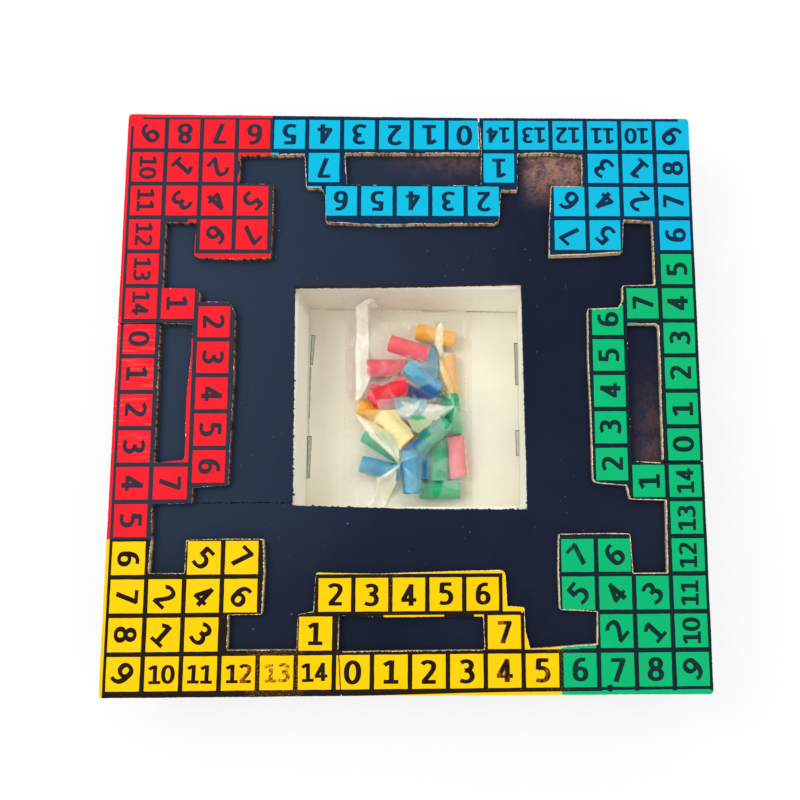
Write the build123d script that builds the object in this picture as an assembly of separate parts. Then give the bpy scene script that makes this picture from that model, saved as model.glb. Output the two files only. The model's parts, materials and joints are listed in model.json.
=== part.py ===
from build123d import *
import math
import os

# Number-track board game: a shallow square case with a fretwork track on its black deck,
# and a carton well in the middle that holds the playing pegs in a clear bag.
# Millimetres. The origin is the middle of the underside, +X is right, +Y is away, +Z is up.

# printed squares
square_pitch = 24.8
squares_per_side = 16
near_margin = 2.6
far_margin = 0.6

# sheets
track_thickness = 6.0
deck_thickness = 6.0
bottom_thickness = 3.0
corner_radius = 3.0

# fretwork
cut_margin = 1.6
loop_round = 5.0
loop_tight_round = 2.5
block_round = 2.0
window_round = 1.5
kerf_width = 0.8
mouth_width = 2.4
mouth_depth = 2.0

# opening in the deck
opening_width = 160.0
opening_length = 155.0
opening_round = 1.5
deck_kerf_rise = 2.6

# side rails
rail_thickness = 6.0
rail_height = 48.0
rail_inset = 0.6

# carton well
card_thickness = 1.6
flap_gap = 1.2
well_clearance = 0.5
foot_gap = 0.4
corner_slit = 0.8
fold_radius = 1.2
tab_length = 29.0
tab_end_clearance = 0.6
tab_clearance = 0.3
slot_show = 1.9
side_tab_spread = 76.0
end_tab_spread = 112.0

# playing pegs
peg_diameter = 12.7
peg_length = 30.0
peg_clearance = 0.4
settle_rounds = 300

# bag
film_thickness = 0.4
bag_clearance = 0.4
bag_width = 96.0
bag_shift = -4.0
side_draw = 3.0
bag_corner_cut = 3.0
head_room = 1.0
near_slope = 4.0
near_layer_slope = 4.0
far_slope = 14.0
far_layer_slope = 12.0
mouth_gap = 11.0
mouth_lift = 26.0

# worked out
board_side = square_pitch * squares_per_side + near_margin + far_margin
half_side = board_side / 2
print_shift = (near_margin - far_margin) / 2
deck_underside = bottom_thickness + rail_height
deck_top = deck_underside + deck_thickness
wall_depth = 2 * card_thickness + flap_gap
well_width = opening_width + 2 * well_clearance
well_length = opening_length + 2 * well_clearance
well_floor = bottom_thickness + card_thickness
bag_floor = well_floor + bag_clearance
peg_radius = peg_diameter / 2
bag_end = opening_length / 2 - bag_clearance
peg_floor = bag_floor + film_thickness + peg_clearance + peg_radius
layer_rise = peg_diameter + peg_clearance
over = 1.0

os.makedirs("parts", exist_ok=True)


def save(shape, name):
    shape.label = name
    export_step(shape, f"parts/{name}.step")


def line(number):
    # place of a printed grid line, counted from the near left corner
    return number * square_pitch - squares_per_side * square_pitch / 2


def block(x_low, x_high, y_low, y_high, z_low, z_high):
    solid = Box(x_high - x_low, y_high - y_low, z_high - z_low)
    return solid.moved(Location(((x_low + x_high) / 2, (y_low + y_high) / 2, (z_low + z_high) / 2)))


def rounded(points, radii):
    # closed outline with its own radius at each corner, 0 for a sharp one
    wire = Polyline(*points, close=True)
    face = make_face(wire)
    for point, radius in zip(points, radii):
        if radius > 0:
            near = [v for v in face.vertices() if abs(v.X - point[0]) + abs(v.Y - point[1]) < 1e-4]
            face = fillet(near, radius)
    return face


def board_face():
    return RectangleRounded(board_side, board_side, corner_radius)


def corner_block():
    # seven squares that stand in from a corner of the track
    m = cut_margin
    inside = line(0.5)
    points = [
        (inside, inside),
        (line(3) + m, inside),
        (line(3) + m, line(2) - m),
        (line(4) + m, line(2) - m),
        (line(4) + m, line(4) + m),
        (line(2) - m, line(4) + m),
        (line(2) - m, line(3) + m),
        (inside, line(3) + m),
    ]
    r = block_round
    return rounded(points, [0, 0, 0, r, r, r, 0, 0])


def number_loop(first_round, last_round):
    # a bridge of seven squares: one up from the track, five along, one back down
    m = cut_margin
    foot = line(0.5)
    points = [
        (line(5) - m, foot),
        (line(5) - m, line(2) + m),
        (line(5.5) - m, line(2) + m),
        (line(5.5) - m, line(3) + m),
        (line(10.5) + m, line(3) + m),
        (line(10.5) + m, line(2) + m),
        (line(11) + m, line(2) + m),
        (line(11) + m, foot),
    ]
    step = block_round
    return rounded(points, [0, step, 0, first_round, last_round, 0, step, 0])


def loop_window():
    m = cut_margin
    low_x, high_x = line(6) + m, line(10) - m
    low_y, high_y = line(1) + m, line(2) - m
    window = RectangleRounded(high_x - low_x, high_y - low_y, window_round)
    return window.moved(Location(((low_x + high_x) / 2, (low_y + high_y) / 2)))


def loop_kerf(mouth):
    # the saw's way in from the outer edge to the window, with a worn mouth on two sides
    x_low = line(6) + cut_margin
    edge = -half_side - print_shift
    window_low = line(1) + cut_margin + window_round + over
    kerf = make_face(Polyline(
        (x_low, edge - over), (x_low + kerf_width, edge - over),
        (x_low + kerf_width, window_low), (x_low, window_low), close=True))
    if mouth:
        middle = x_low + kerf_width / 2
        kerf += make_face(Polyline(
            (middle - mouth_width / 2, edge), (middle, edge + mouth_depth),
            (middle + mouth_width / 2, edge), (middle + mouth_width / 2, edge - over),
            (middle - mouth_width / 2, edge - over), close=True))
    return kerf


def number_track():
    ring_inside = squares_per_side * square_pitch - 2 * (square_pitch + cut_margin)
    sketch = board_face() - Rectangle(ring_inside, ring_inside).moved(Location((print_shift, print_shift)))
    # turn by quarter turns: yellow near, green right, blue far, red left
    for quarter in range(4):
        first = loop_tight_round if quarter == 0 else loop_round
        last = loop_round if quarter == 0 else loop_tight_round
        place = Location((print_shift, print_shift, 0), (0, 0, 90 * quarter))
        sketch += corner_block().moved(place)
        sketch += number_loop(first, last).moved(place)
    for quarter in range(4):
        place = Location((print_shift, print_shift, 0), (0, 0, 90 * quarter))
        sketch -= loop_window().moved(place)
        sketch -= loop_kerf(quarter in (1, 2)).moved(place)
    return extrude(sketch, track_thickness).moved(Location((0, 0, deck_top)))


def black_deck():
    opening = RectangleRounded(opening_width, opening_length, opening_round)
    kerf_y = -opening_length / 2 + deck_kerf_rise
    kerf_length = half_side - opening_width / 2 + 2 * over
    kerf = Rectangle(kerf_length, kerf_width)
    kerf = kerf.moved(Location((-opening_width / 2 + over - kerf_length / 2, kerf_y)))
    sketch = board_face() - opening - kerf
    return extrude(sketch, deck_thickness).moved(Location((0, 0, deck_underside)))


def side_rail(along_x, sign):
    outer = half_side - rail_inset
    length = outer if along_x else outer - rail_thickness
    low = outer - rail_thickness
    if along_x:
        rail = block(-length, length, low, outer, bottom_thickness, deck_underside)
    else:
        rail = block(low, outer, -length, length, bottom_thickness, deck_underside)
    rail = rail.rotate(Axis.Z, 0 if sign > 0 else 180)
    # the outer upright corners are eased like those of the deck
    if along_x:
        corners = [e for e in rail.edges().filter_by(Axis.Z) if abs(e.center().Y) > outer - 0.01]
        rail = fillet(corners, corner_radius - rail_inset)
    return rail


def bottom_panel():
    side = board_side - 2 * rail_inset
    return extrude(RectangleRounded(side, side, corner_radius - rail_inset), bottom_thickness)


def tab_places(spread, count):
    return [spread * (i / (count - 1) - 0.5) for i in range(count)]


def carton_well():
    # one folded carton: a base, and four walls that roll over and lock into it with tabs
    half_w = well_width / 2
    half_l = well_length / 2
    outer = block(
        -half_w - wall_depth, half_w + wall_depth, -half_l - wall_depth, half_l + wall_depth,
        bottom_thickness, deck_underside)
    outer = fillet(outer.edges().filter_by(Axis.Z), fold_radius)
    well = outer - block(-half_w, half_w, -half_l, half_l, well_floor, deck_underside + over)
    # the space between the two leaves of each wall
    gap_low = card_thickness
    gap_high = card_thickness + flap_gap
    roof = deck_underside - card_thickness
    ring_outer = block(
        -half_w - gap_high, half_w + gap_high, -half_l - gap_high, half_l + gap_high, well_floor, roof)
    ring_inner = block(
        -half_w - gap_low, half_w + gap_low, -half_l - gap_low, half_l + gap_low, well_floor, roof)
    well -= ring_outer - ring_inner
    # the foot of each inner leaf stops just above the base
    foot_ring = block(
        -half_w - gap_high, half_w + gap_high, -half_l - gap_high, half_l + gap_high,
        well_floor, well_floor + foot_gap)
    foot_core = block(-half_w, half_w, -half_l, half_l, well_floor, well_floor + foot_gap)
    well -= foot_ring - foot_core
    # slits where two inner leaves meet in a corner
    for x_sign in (-1, 1):
        for y_sign in (-1, 1):
            x = x_sign * (half_w + card_thickness / 2)
            y = y_sign * (half_l + card_thickness / 2)
            slit = block(
                x - corner_slit / 2 - card_thickness / 2, x + corner_slit / 2 + card_thickness / 2,
                y - corner_slit / 2, y + corner_slit / 2, well_floor, roof)
            well -= slit
    # rounded folds along the top of the walls
    top_edges = [
        e for e in well.edges()
        if abs(e.center().Z - deck_underside) < 0.01 and e.length > well_length * 0.9
    ]
    well = fillet(top_edges, fold_radius)
    # tabs, and the slots that they lock into
    walls = [
        (0, half_w, tab_places(side_tab_spread, 2)),
        (90, half_l, tab_places(end_tab_spread, 3)),
        (180, half_w, tab_places(side_tab_spread, 2)),
        (270, half_l, tab_places(end_tab_spread, 3)),
    ]
    for turn, face, places in walls:
        for place in places:
            half_tab = tab_length / 2
            half_slot = half_tab + tab_end_clearance
            slot = block(
                face - slot_show, face + card_thickness + tab_clearance, place - half_slot, place + half_slot,
                bottom_thickness - over, well_floor + foot_gap / 2)
            tab = block(
                face, face + card_thickness, place - half_tab, place + half_tab,
                bottom_thickness + tab_clearance, well_floor + 2 * foot_gap)
            well -= slot.rotate(Axis.Z, turn)
            well += tab.rotate(Axis.Z, turn)
    return well


def layer_limits(layer):
    # near and far ends of the stretch of bag that is high enough for a layer of pegs
    near = -bag_end + near_slope + layer * near_layer_slope
    far = bag_end - far_slope - layer * far_layer_slope
    return near, far


def layer_height(layer):
    # height of the bag over pegs that lie up to this layer
    pegs = peg_diameter + layer * layer_rise
    return pegs + 2 * (film_thickness + peg_clearance) + head_room


def bag_section(station, grow):
    # a flattened section across the bag with its corners cut off; grow is negative for the inside
    along, width, low, height = station
    section = Rectangle(width + 2 * grow, height + 2 * grow)
    section = chamfer(section.vertices(), min(bag_corner_cut, 0.3 * (height + 2 * grow)))
    middle = (bag_shift, along, bag_floor + low + height / 2)
    return Plane(origin=middle, x_dir=(1, 0, 0), z_dir=(0, -1, 0)) * section


def piece_bag():
    # a flat film bag: sealed near end, belly full of pegs, and a gaping mouth that leans on the far wall
    belly = bag_width - 2 * side_draw
    seal = (-bag_end, bag_width, 0, 2.2 * film_thickness)
    inner_seal = (-bag_end + 2 * film_thickness, belly, 0, 3 * film_thickness)
    lower_near, lower_far = layer_limits(0)
    upper_near, upper_far = layer_limits(1)
    filled = [
        (lower_near, belly, 0, layer_height(0)),
        (upper_near, belly, 0, layer_height(1)),
        (upper_far, belly, 0, layer_height(1)),
        (lower_far, belly, 0, layer_height(0)),
        (bag_end, bag_width, mouth_lift, mouth_gap + 2 * film_thickness),
    ]
    outside = loft([bag_section(s, 0) for s in [seal] + filled], ruled=True)
    inside = loft([bag_section(s, -film_thickness) for s in [inner_seal] + filled], ruled=True)
    return outside - inside


# Each peg as it was dropped in the bag: colour, across from the middle of the bag,
# along from its sealed near end, turn about the upright, layer
peg_places = [
    ("yellow", 20.8, 129.5, -13, 0),
    ("yellow", 30.0, 99.6, -87, 0),
    ("yellow", -22.0, 70.6, -25, 0),
    ("yellow", -8.0, 56.6, -44, 1),
    ("yellow", 10.0, 65.1, -30, 0),
    ("red", 1.5, 116.9, -18, 1),
    ("red", -15.5, 105.6, 0, 0),
    ("red", -12.2, 85.4, 24, 1),
    ("red", 38.0, 37.9, -86, 0),
    ("red", -13.0, 82.6, -12, 0),
    ("blue", 17.5, 108.6, -87, 0),
    ("blue", 11.5, 93.6, -38, 1),
    ("blue", 3.3, 25.6, -87, 1),
    ("blue", 12.5, 36.1, -90, 0),
    ("blue", -19.2, 31.6, -14, 0),
    ("green", 32.5, 69.6, -84, 0),
    ("green", 17.5, 53.6, 40, 1),
    ("green", 25.0, 35.6, -90, 0),
    ("green", 24.0, 13.6, 0, 0),
    ("green", -19.5, 45.6, -32, 0),
]


def push_apart(first, second):
    # least push that parts two pegs lying in one layer: how far and which way, or nothing
    half_length = (peg_length + peg_clearance) / 2
    half_width = (peg_diameter + peg_clearance) / 2
    least = None
    for turn in (first[3], first[3] + 90, second[3], second[3] + 90):
        way_x = math.cos(math.radians(turn))
        way_y = math.sin(math.radians(turn))
        apart = (second[1] - first[1]) * way_x + (second[2] - first[2]) * way_y
        reach = 0
        for peg_turn in (first[3], second[3]):
            lean = math.radians(peg_turn - turn)
            reach += half_length * abs(math.cos(lean)) + half_width * abs(math.sin(lean))
        push = reach - abs(apart)
        if push <= 0:
            return None
        if least is None or push < least[0]:
            sign = 1 if apart >= 0 else -1
            least = (push, way_x * sign, way_y * sign)
    return least


def keep_inside(peg_place):
    # bring a peg back between the sides and the slopes of the bag
    lean = math.radians(peg_place[3])
    half_x = peg_length / 2 * abs(math.cos(lean)) + peg_radius * abs(math.sin(lean))
    half_y = peg_length / 2 * abs(math.sin(lean)) + peg_radius * abs(math.cos(lean))
    room = bag_width / 2 - side_draw - film_thickness - peg_clearance - half_x
    near, far = layer_limits(peg_place[4])
    edge = film_thickness + peg_clearance + half_y
    peg_place[1] = min(max(peg_place[1], bag_shift - room), bag_shift + room)
    peg_place[2] = min(max(peg_place[2], near + edge), far - edge)


def settled(places):
    # the heap: pegs of one layer push each other aside until none of them cross
    heap = []
    for colour, across, along, turn, layer in places:
        heap.append([colour, bag_shift + across, along - bag_end, turn, layer])
    for _ in range(settle_rounds):
        for i, first in enumerate(heap):
            for second in heap[i + 1:]:
                push = push_apart(first, second) if first[4] == second[4] else None
                if push:
                    distance, way_x, way_y = push
                    first[1] -= way_x * distance / 2
                    first[2] -= way_y * distance / 2
                    second[1] += way_x * distance / 2
                    second[2] += way_y * distance / 2
        for peg_place in heap:
            keep_inside(peg_place)
    return heap


def peg(across, along, turn, layer):
    body = Cylinder(peg_radius, peg_length).rotate(Axis.Y, 90).rotate(Axis.Z, turn)
    return body.moved(Location((across, along, peg_floor + layer * layer_rise)))


save(bottom_panel(), "bottom_panel")
save(side_rail(True, -1), "near_side_rail")
save(side_rail(True, 1), "far_side_rail")
save(side_rail(False, -1), "left_side_rail")
save(side_rail(False, 1), "right_side_rail")
save(black_deck(), "black_deck")
save(number_track(), "number_track")
save(carton_well(), "carton_well")
save(piece_bag(), "piece_bag")

counts = {}
for colour, across, along, turn, layer in settled(peg_places):
    counts[colour] = counts.get(colour, 0) + 1
    save(peg(across, along, turn, layer), f"{colour}_peg_{counts[colour]}")
    print(f"{colour}_peg_{counts[colour]} lies at {across:.1f}, {along:.1f}, layer {layer}")
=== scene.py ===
import json
import math
import random
import bpy
import bmesh
import numpy as np
from mathutils import Matrix, Vector

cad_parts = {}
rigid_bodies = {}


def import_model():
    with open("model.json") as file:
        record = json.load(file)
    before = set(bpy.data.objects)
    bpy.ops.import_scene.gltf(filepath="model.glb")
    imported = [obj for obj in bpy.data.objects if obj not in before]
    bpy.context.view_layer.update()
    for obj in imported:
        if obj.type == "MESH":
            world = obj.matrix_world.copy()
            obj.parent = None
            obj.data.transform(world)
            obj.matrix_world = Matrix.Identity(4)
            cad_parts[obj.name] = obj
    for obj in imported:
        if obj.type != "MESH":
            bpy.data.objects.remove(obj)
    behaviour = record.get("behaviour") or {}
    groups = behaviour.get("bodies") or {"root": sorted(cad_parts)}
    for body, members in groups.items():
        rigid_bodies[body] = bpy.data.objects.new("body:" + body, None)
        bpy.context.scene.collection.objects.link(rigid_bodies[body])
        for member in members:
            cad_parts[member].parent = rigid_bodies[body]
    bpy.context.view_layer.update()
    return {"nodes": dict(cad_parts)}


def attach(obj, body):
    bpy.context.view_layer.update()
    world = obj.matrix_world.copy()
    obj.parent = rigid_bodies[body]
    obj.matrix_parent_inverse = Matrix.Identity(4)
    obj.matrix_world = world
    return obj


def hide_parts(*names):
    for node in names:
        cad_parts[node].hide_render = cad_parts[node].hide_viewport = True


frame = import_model()
bpy.context.scene.view_settings.view_transform = "Standard"
mm = 0.001


class Wire:
    # one output of a node; sums and products on it add Math nodes
    def __init__(self, graph, socket):
        self.graph = graph
        self.socket = socket

    def math(self, operation, *others, first=None):
        values = (self,) + others if first is None else (first, self)
        return self.graph.node("ShaderNodeMath", {"operation": operation}, dict(enumerate(values)))

    def __add__(self, other): return self.math("ADD", other)
    def __radd__(self, other): return self.math("ADD", first=other)
    def __sub__(self, other): return self.math("SUBTRACT", other)
    def __rsub__(self, other): return self.math("SUBTRACT", first=other)
    def __mul__(self, other): return self.math("MULTIPLY", other)
    def __truediv__(self, other): return self.math("DIVIDE", other)
    def __lt__(self, other): return self.math("LESS_THAN", other)
    def __gt__(self, other): return self.math("GREATER_THAN", other)
    def __abs__(self): return self.math("ABSOLUTE")

    def fract(self): return self.math("FRACT")
    def most(self, other): return self.math("MAXIMUM", other)
    def least(self, other): return self.math("MINIMUM", other)

    def ramp(self, low, high, bottom=0.0, top=1.0):
        # smooth step from bottom at low to top at high
        return self.graph.node("ShaderNodeMapRange", {"interpolation_type": "SMOOTHSTEP"},
                               {"Value": self, "From Min": low, "From Max": high, "To Min": bottom, "To Max": top})


def either(*masks):
    # the greatest of several wires
    whole = masks[0]
    for mask in masks[1:]:
        whole = whole.most(mask)
    return whole


class Graph:
    # builds a node tree; Paint and Shaper set place, the point that their tree works on
    def __init__(self, tree):
        self.tree = tree

    def node(self, kind, settings=None, sockets=None, output=0):
        made = self.tree.nodes.new(kind)
        for name, value in (settings or {}).items():
            setattr(made, name, value)
        for name, value in (sockets or {}).items():
            if isinstance(value, Wire):
                self.tree.links.new(value.socket, made.inputs[name])
            else:
                made.inputs[name].default_value = value
        return Wire(self, made.outputs[output])

    def vector(self, operation, a, b=None, scale=None):
        sockets = {name: value for name, value in ((0, a), (1, b), ("Scale", scale)) if value is not None}
        return self.node("ShaderNodeVectorMath", {"operation": operation}, sockets)

    def upright(self, height):
        # a vector along z
        return self.node("ShaderNodeCombineXYZ", sockets={2: height})

    def axes(self, vector=None):
        # the x, y and z of a vector
        split = self.node("ShaderNodeSeparateXYZ", sockets={0: vector or self.place})
        return [Wire(self, part) for part in split.socket.node.outputs]

    def speckle(self, scale, detail=2.0, roughness=0.5, vector=None, seed=None, output="Fac"):
        settings = {}
        sockets = {"Vector": vector or self.place, "Scale": scale, "Detail": detail, "Roughness": roughness}
        if seed is not None:
            settings["noise_dimensions"] = "4D"
            sockets["W"] = seed
        return self.node("ShaderNodeTexNoise", settings, sockets, output)


class Paint(Graph):
    # a material under construction
    def __init__(self, name):
        self.material = bpy.data.materials.new(name)
        self.material.use_nodes = True
        super().__init__(self.material.node_tree)
        self.tree.nodes.clear()
        self.place = self.node("ShaderNodeTexCoord", output="Object")

    def stretched(self, x, y, z, vector=None):
        return self.vector("MULTIPLY", vector or self.place, (x, y, z))

    def mix(self, factor, a, b):
        return self.node("ShaderNodeMix", {"data_type": "RGBA"}, {0: factor, 6: a, 7: b}, output=2)

    def attribute(self, name, output="Fac"):
        return self.node("ShaderNodeAttribute", {"attribute_name": name}, output=output)

    def bump(self, height, strength, distance):
        return self.node("ShaderNodeBump", sockets={"Height": height, "Strength": strength, "Distance": distance})

    def closed(self, shader):
        # joins the shader to the output, and gives the material
        end = self.tree.nodes.new("ShaderNodeOutputMaterial")
        self.tree.links.new(shader.socket, end.inputs["Surface"])
        return self.material

    def shaded(self, **sockets):
        # the material with a Principled shader, whose sockets are given by name
        names = {name.replace("_", " "): value for name, value in sockets.items()}
        return self.closed(self.node("ShaderNodeBsdfPrincipled", sockets=names))


def tone(red, green, blue):
    # a colour as seen on screen, 0 to 255, made linear for the shaders
    def linear(v):
        v /= 255
        return v / 12.92 if v <= 0.04045 else ((v + 0.055) / 1.055) ** 2.4
    return (linear(red), linear(green), linear(blue), 1.0)


class Shaper(Graph):
    # a Geometry Nodes tree under construction: labels are its Float inputs, others are given with their kind
    def __init__(self, name, labels=(), **others):
        super().__init__(bpy.data.node_groups.new(name, "GeometryNodeTree"))
        kinds = {"Geometry": "Geometry", **{label: "Float" for label in labels}, **others, "Material": "Material"}
        for label, kind in kinds.items():
            self.tree.interface.new_socket(name=label, in_out="INPUT", socket_type="NodeSocket" + kind)
        self.tree.interface.new_socket(name="Geometry", in_out="OUTPUT", socket_type="NodeSocketGeometry")
        self.entry = self.tree.nodes.new("NodeGroupInput")
        self.place = self.node("GeometryNodeInputPosition")

    def given(self, label):
        return Wire(self, self.entry.outputs[label])

    def named(self, label, kind="FLOAT"):
        return self.node("GeometryNodeInputNamedAttribute", {"data_type": kind}, {"Name": label})

    def keep(self, geometry, label, value, selection=True, kind="FLOAT"):
        return self.node("GeometryNodeStoreNamedAttribute", {"data_type": kind, "domain": "POINT"}, {
            "Geometry": geometry, "Selection": selection, "Name": label, "Value": value})

    def shift(self, geometry, offset, selection=True):
        return self.node("GeometryNodeSetPosition", sockets={
            "Geometry": geometry, "Selection": selection, "Offset": offset})

    def join(self, *parts):
        made = self.tree.nodes.new("GeometryNodeJoinGeometry")
        for part in parts:
            self.tree.links.new(part.socket, made.inputs[0])
        return Wire(self, made.outputs[0])

    def end(self, geometry):
        out = self.tree.nodes.new("NodeGroupOutput")
        real = self.node("GeometryNodeRealizeInstances", sockets={0: geometry})
        last = self.node("GeometryNodeSetMaterial", sockets={"Geometry": real, "Material": self.given("Material")})
        self.tree.links.new(last.socket, out.inputs[0])
        return self.tree


def addObject(name, data):
    obj = bpy.data.objects.new(name, data)
    bpy.context.scene.collection.objects.link(obj)
    return obj


def meshFrom(name, points, faces, smooth=False):
    mesh = bpy.data.meshes.new(name)
    mesh.from_pydata([tuple(p) for p in points], [], faces)
    mesh.validate()
    if smooth:
        mesh.shade_smooth()
    return mesh


def meshOf(name, shape):
    mesh = bpy.data.meshes.new(name)
    shape.to_mesh(mesh)
    shape.free()
    return mesh


def shaped(name, source, tree, values):
    # runs a Geometry Nodes tree on a source object and keeps the result as a plain mesh
    modifier = source.modifiers.new(tree.name, "NODES")
    modifier.node_group = tree
    labels = {item.name: item.identifier for item in tree.interface.items_tree if item.in_out == "INPUT"}
    for label, value in values.items():
        modifier[labels[label]] = value
    bpy.context.view_layer.update()
    evaluated = source.evaluated_get(bpy.context.evaluated_depsgraph_get())
    mesh = bpy.data.meshes.new_from_object(evaluated)
    mesh.name = name
    source.modifiers.remove(modifier)
    bpy.data.objects.remove(source)
    return addObject(name, mesh)


def baked(obj):
    # applies the live modifiers of an object to its mesh
    bpy.context.view_layer.update()
    evaluated = obj.evaluated_get(bpy.context.evaluated_depsgraph_get())
    mesh = bpy.data.meshes.new_from_object(evaluated)
    obj.modifiers.clear()
    obj.data = mesh
    return obj


def dress(obj, material, body, *nodes):
    obj.data.materials.clear()
    obj.data.materials.append(material)
    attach(obj, body)
    if nodes:
        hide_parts(*nodes)
    return obj


view = {
    "place": (0.02885, -0.0998, 0.60195),
    "turns": (0.345, -7.498, 1.169),  # degrees round z, x and y
    "lens": 36.0,
    "sensor": 36.0,
    "shift": (-0.085, 0.043),
}


def makeCamera():
    turnZ, turnX, turnY = (math.radians(a) for a in view["turns"])
    toCamera = Matrix.Rotation(turnZ, 3, "Z") @ Matrix.Rotation(turnX, 3, "X") @ Matrix.Rotation(turnY, 3, "Y")
    camera = addObject("camera", bpy.data.cameras.new("camera"))
    camera.data.sensor_width = view["sensor"]
    camera.data.lens = view["lens"]
    camera.data.shift_x, camera.data.shift_y = view["shift"]
    camera.matrix_world = Matrix.Translation(view["place"]) @ toCamera.transposed().to_4x4()
    bpy.context.scene.camera = camera


light = {
    "sky": 0.66,
    "lamps": [  # place, size and power
        ((-0.80, 0.28, 1.42), 0.9, 10.4),
        ((0.35, 0.95, 1.7), 0.9, 4.0),
        ((0.30, -0.9, 1.7), 1.0, 3.4),
        ((0.95, 0.05, 1.15), 0.8, 1.6),
    ],
    "floorShade": 0.22,
    "floorGrey": 0.9,
    "floorRadius": 6.0,
    "floorDrop": 0.2 * mm,
}


def whiteWhenSeen(paint):
    path = paint.tree.nodes.new("ShaderNodeLightPath")
    return either(*(Wire(paint, path.outputs[f"Is {ray} Ray"]) for ray in ("Camera", "Glossy", "Transmission")))


def makeRoom():
    world = bpy.data.worlds.new("studio")
    bpy.context.scene.world = world
    world.use_nodes = True
    sky = Graph(world.node_tree)
    world.node_tree.nodes.clear()
    seen = whiteWhenSeen(sky)
    strength = seen * (1 - light["sky"]) + light["sky"]
    glow = sky.node("ShaderNodeBackground", sockets={"Color": (1, 1, 1, 1), "Strength": strength})
    end = world.node_tree.nodes.new("ShaderNodeOutputWorld")
    world.node_tree.links.new(glow.socket, end.inputs["Surface"])
    for place, size, power in light["lamps"]:
        lamp = addObject("softbox", bpy.data.lights.new("softbox", "AREA"))
        lamp.data.shape = "DISK"
        lamp.data.size = size
        lamp.data.energy = power
        lamp.location = place
        lamp.rotation_euler = Vector(place).to_track_quat("Z", "Y").to_euler()
    # a pale disc, white where the camera sees it
    shape = bmesh.new()
    bmesh.ops.create_circle(shape, cap_ends=True, radius=light["floorRadius"], segments=64)
    floor = addObject("floor", meshOf("floor", shape))
    floor.location.z = -light["floorDrop"]
    paint = Paint("paleFloor")
    shadow = paint.node("ShaderNodeBsdfDiffuse", sockets={"Color": (*[light["floorGrey"]] * 3, 1)})
    white = paint.node("ShaderNodeEmission", sockets={"Color": (1, 1, 1, 1), "Strength": 1.0})
    part = whiteWhenSeen(paint) * (1 - light["floorShade"])
    floor.data.materials.append(paint.closed(paint.node("ShaderNodeMixShader", sockets={0: part, 1: shadow, 2: white})))


makeCamera()
makeRoom()
print("camera, lights and floor are ready")


board = {
    "half": 0.200,
    "pitch": 0.0248,  # side of a printed square
    "shift": 0.001,   # of the print on the board, along x and y
    "deckUnderside": 0.051,
    "deckTop": 0.057,
    "trackTop": 0.063,
    "cutStep": 25 * mm,
    "cornerRound": 0.003,
    "cornerStray": [(0, 0), (0, -0.0012), (0, 0), (0, 0.0018)],  # from the near left corner and round
}
gridLow = board["shift"] - 8 * board["pitch"]  # where the 16 by 16 squares begin
sides = ("near", "right", "far", "left")

# The saw line inside each side, seen with that side nearest: along and in, in cutSteps from
# the near left corner, and the corner's round in mm. It starts under the corner block's notch.
innerCuts = [
    [(1.13, 3.17, 1), (2.08, 3.17, 0.5), (2.1, 4.04, 1), (3.2, 4.07, 0), (4.13, 4.06, 2), (4.175, 3.2, 0),
     (4.14, 2.09, 1.2), (3.26, 2.09, 0.5), (3.25, 1.18, 1), (5.08, 1.17, 0.5), (5.08, 2.08, 0.6), (5.49, 2.16, 0.3),
     (5.53, 2.9, 0), (5.55, 3.165, 1.2), (7.1, 3.125, 0), (10.56, 3.21, 4.4), (10.61, 2.25, 0.8), (11.06, 2.22, 1.2),
     (11.08, 1.6, 0), (11.2, 1.15, 0.6)],
    [(1.255, 3.02, 1), (2.1, 3, 0.5), (2.15, 4, 1.4), (3.2, 4.02, 0), (4.15, 3.99, 1.2), (4.16, 2.6, 0),
     (4.15, 2.06, 2.4), (3.1, 2.02, 0.5), (3.1, 1.09, 1), (5.03, 1.06, 0.5), (5.07, 2.04, 1), (5.44, 2.12, 0.4),
     (5.5, 2.8, 0), (5.54, 3.03, 4), (7.6, 3.04, 0), (8.9, 3.08, 0), (10.36, 3.05, 1.5), (10.4, 2.2, 0),
     (10.6, 2.07, 1), (11.03, 2.06, 1), (11.06, 1.15, 0.5)],
    [(1.15, 3.08, 1), (1.97, 3.05, 0.5), (2.03, 3.99, 1), (3.1, 4.07, 0), (4.1, 4.1, 1.2), (4.06, 3, 0), (4, 2.05, 1),
     (3.12, 2.05, 0.5), (3.11, 1.11, 1), (4.1, 1.05, 0), (4.95, 1.08, 0.5), (4.96, 2.18, 0.8), (5.43, 2.16, 0.4),
     (5.47, 2.7, 0), (5.49, 3.16, 5), (7.6, 3.17, 0), (8.9, 3.2, 0), (10.36, 3.12, 1), (10.39, 2.35, 0),
     (10.5, 2.12, 2), (10.93, 2.11, 1), (11, 1.11, 0.6)],
    [(1.16, 3.19, 1), (2, 3.18, 0.5), (2.02, 4.14, 1.2), (3.2, 4.15, 0), (4.17, 4.11, 1.5), (4.21, 3, 0),
     (4.15, 2.01, 2.4), (3.6, 2.01, 0), (3.15, 2.07, 0.5), (3.14, 1.18, 1), (5.05, 1.17, 0.5), (5.06, 2.1, 1),
     (5.2, 2.2, 0), (5.44, 2.2, 0.4), (5.44, 2.6, 0), (5.45, 3.03, 1), (5.77, 3.18, 6), (7.6, 3.2, 0),
     (10.5, 3.14, 1), (10.56, 2.2, 0.6), (10.98, 2.19, 1), (11, 1.14, 0.6), (11.9, 1.17, 0)],
]
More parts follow.
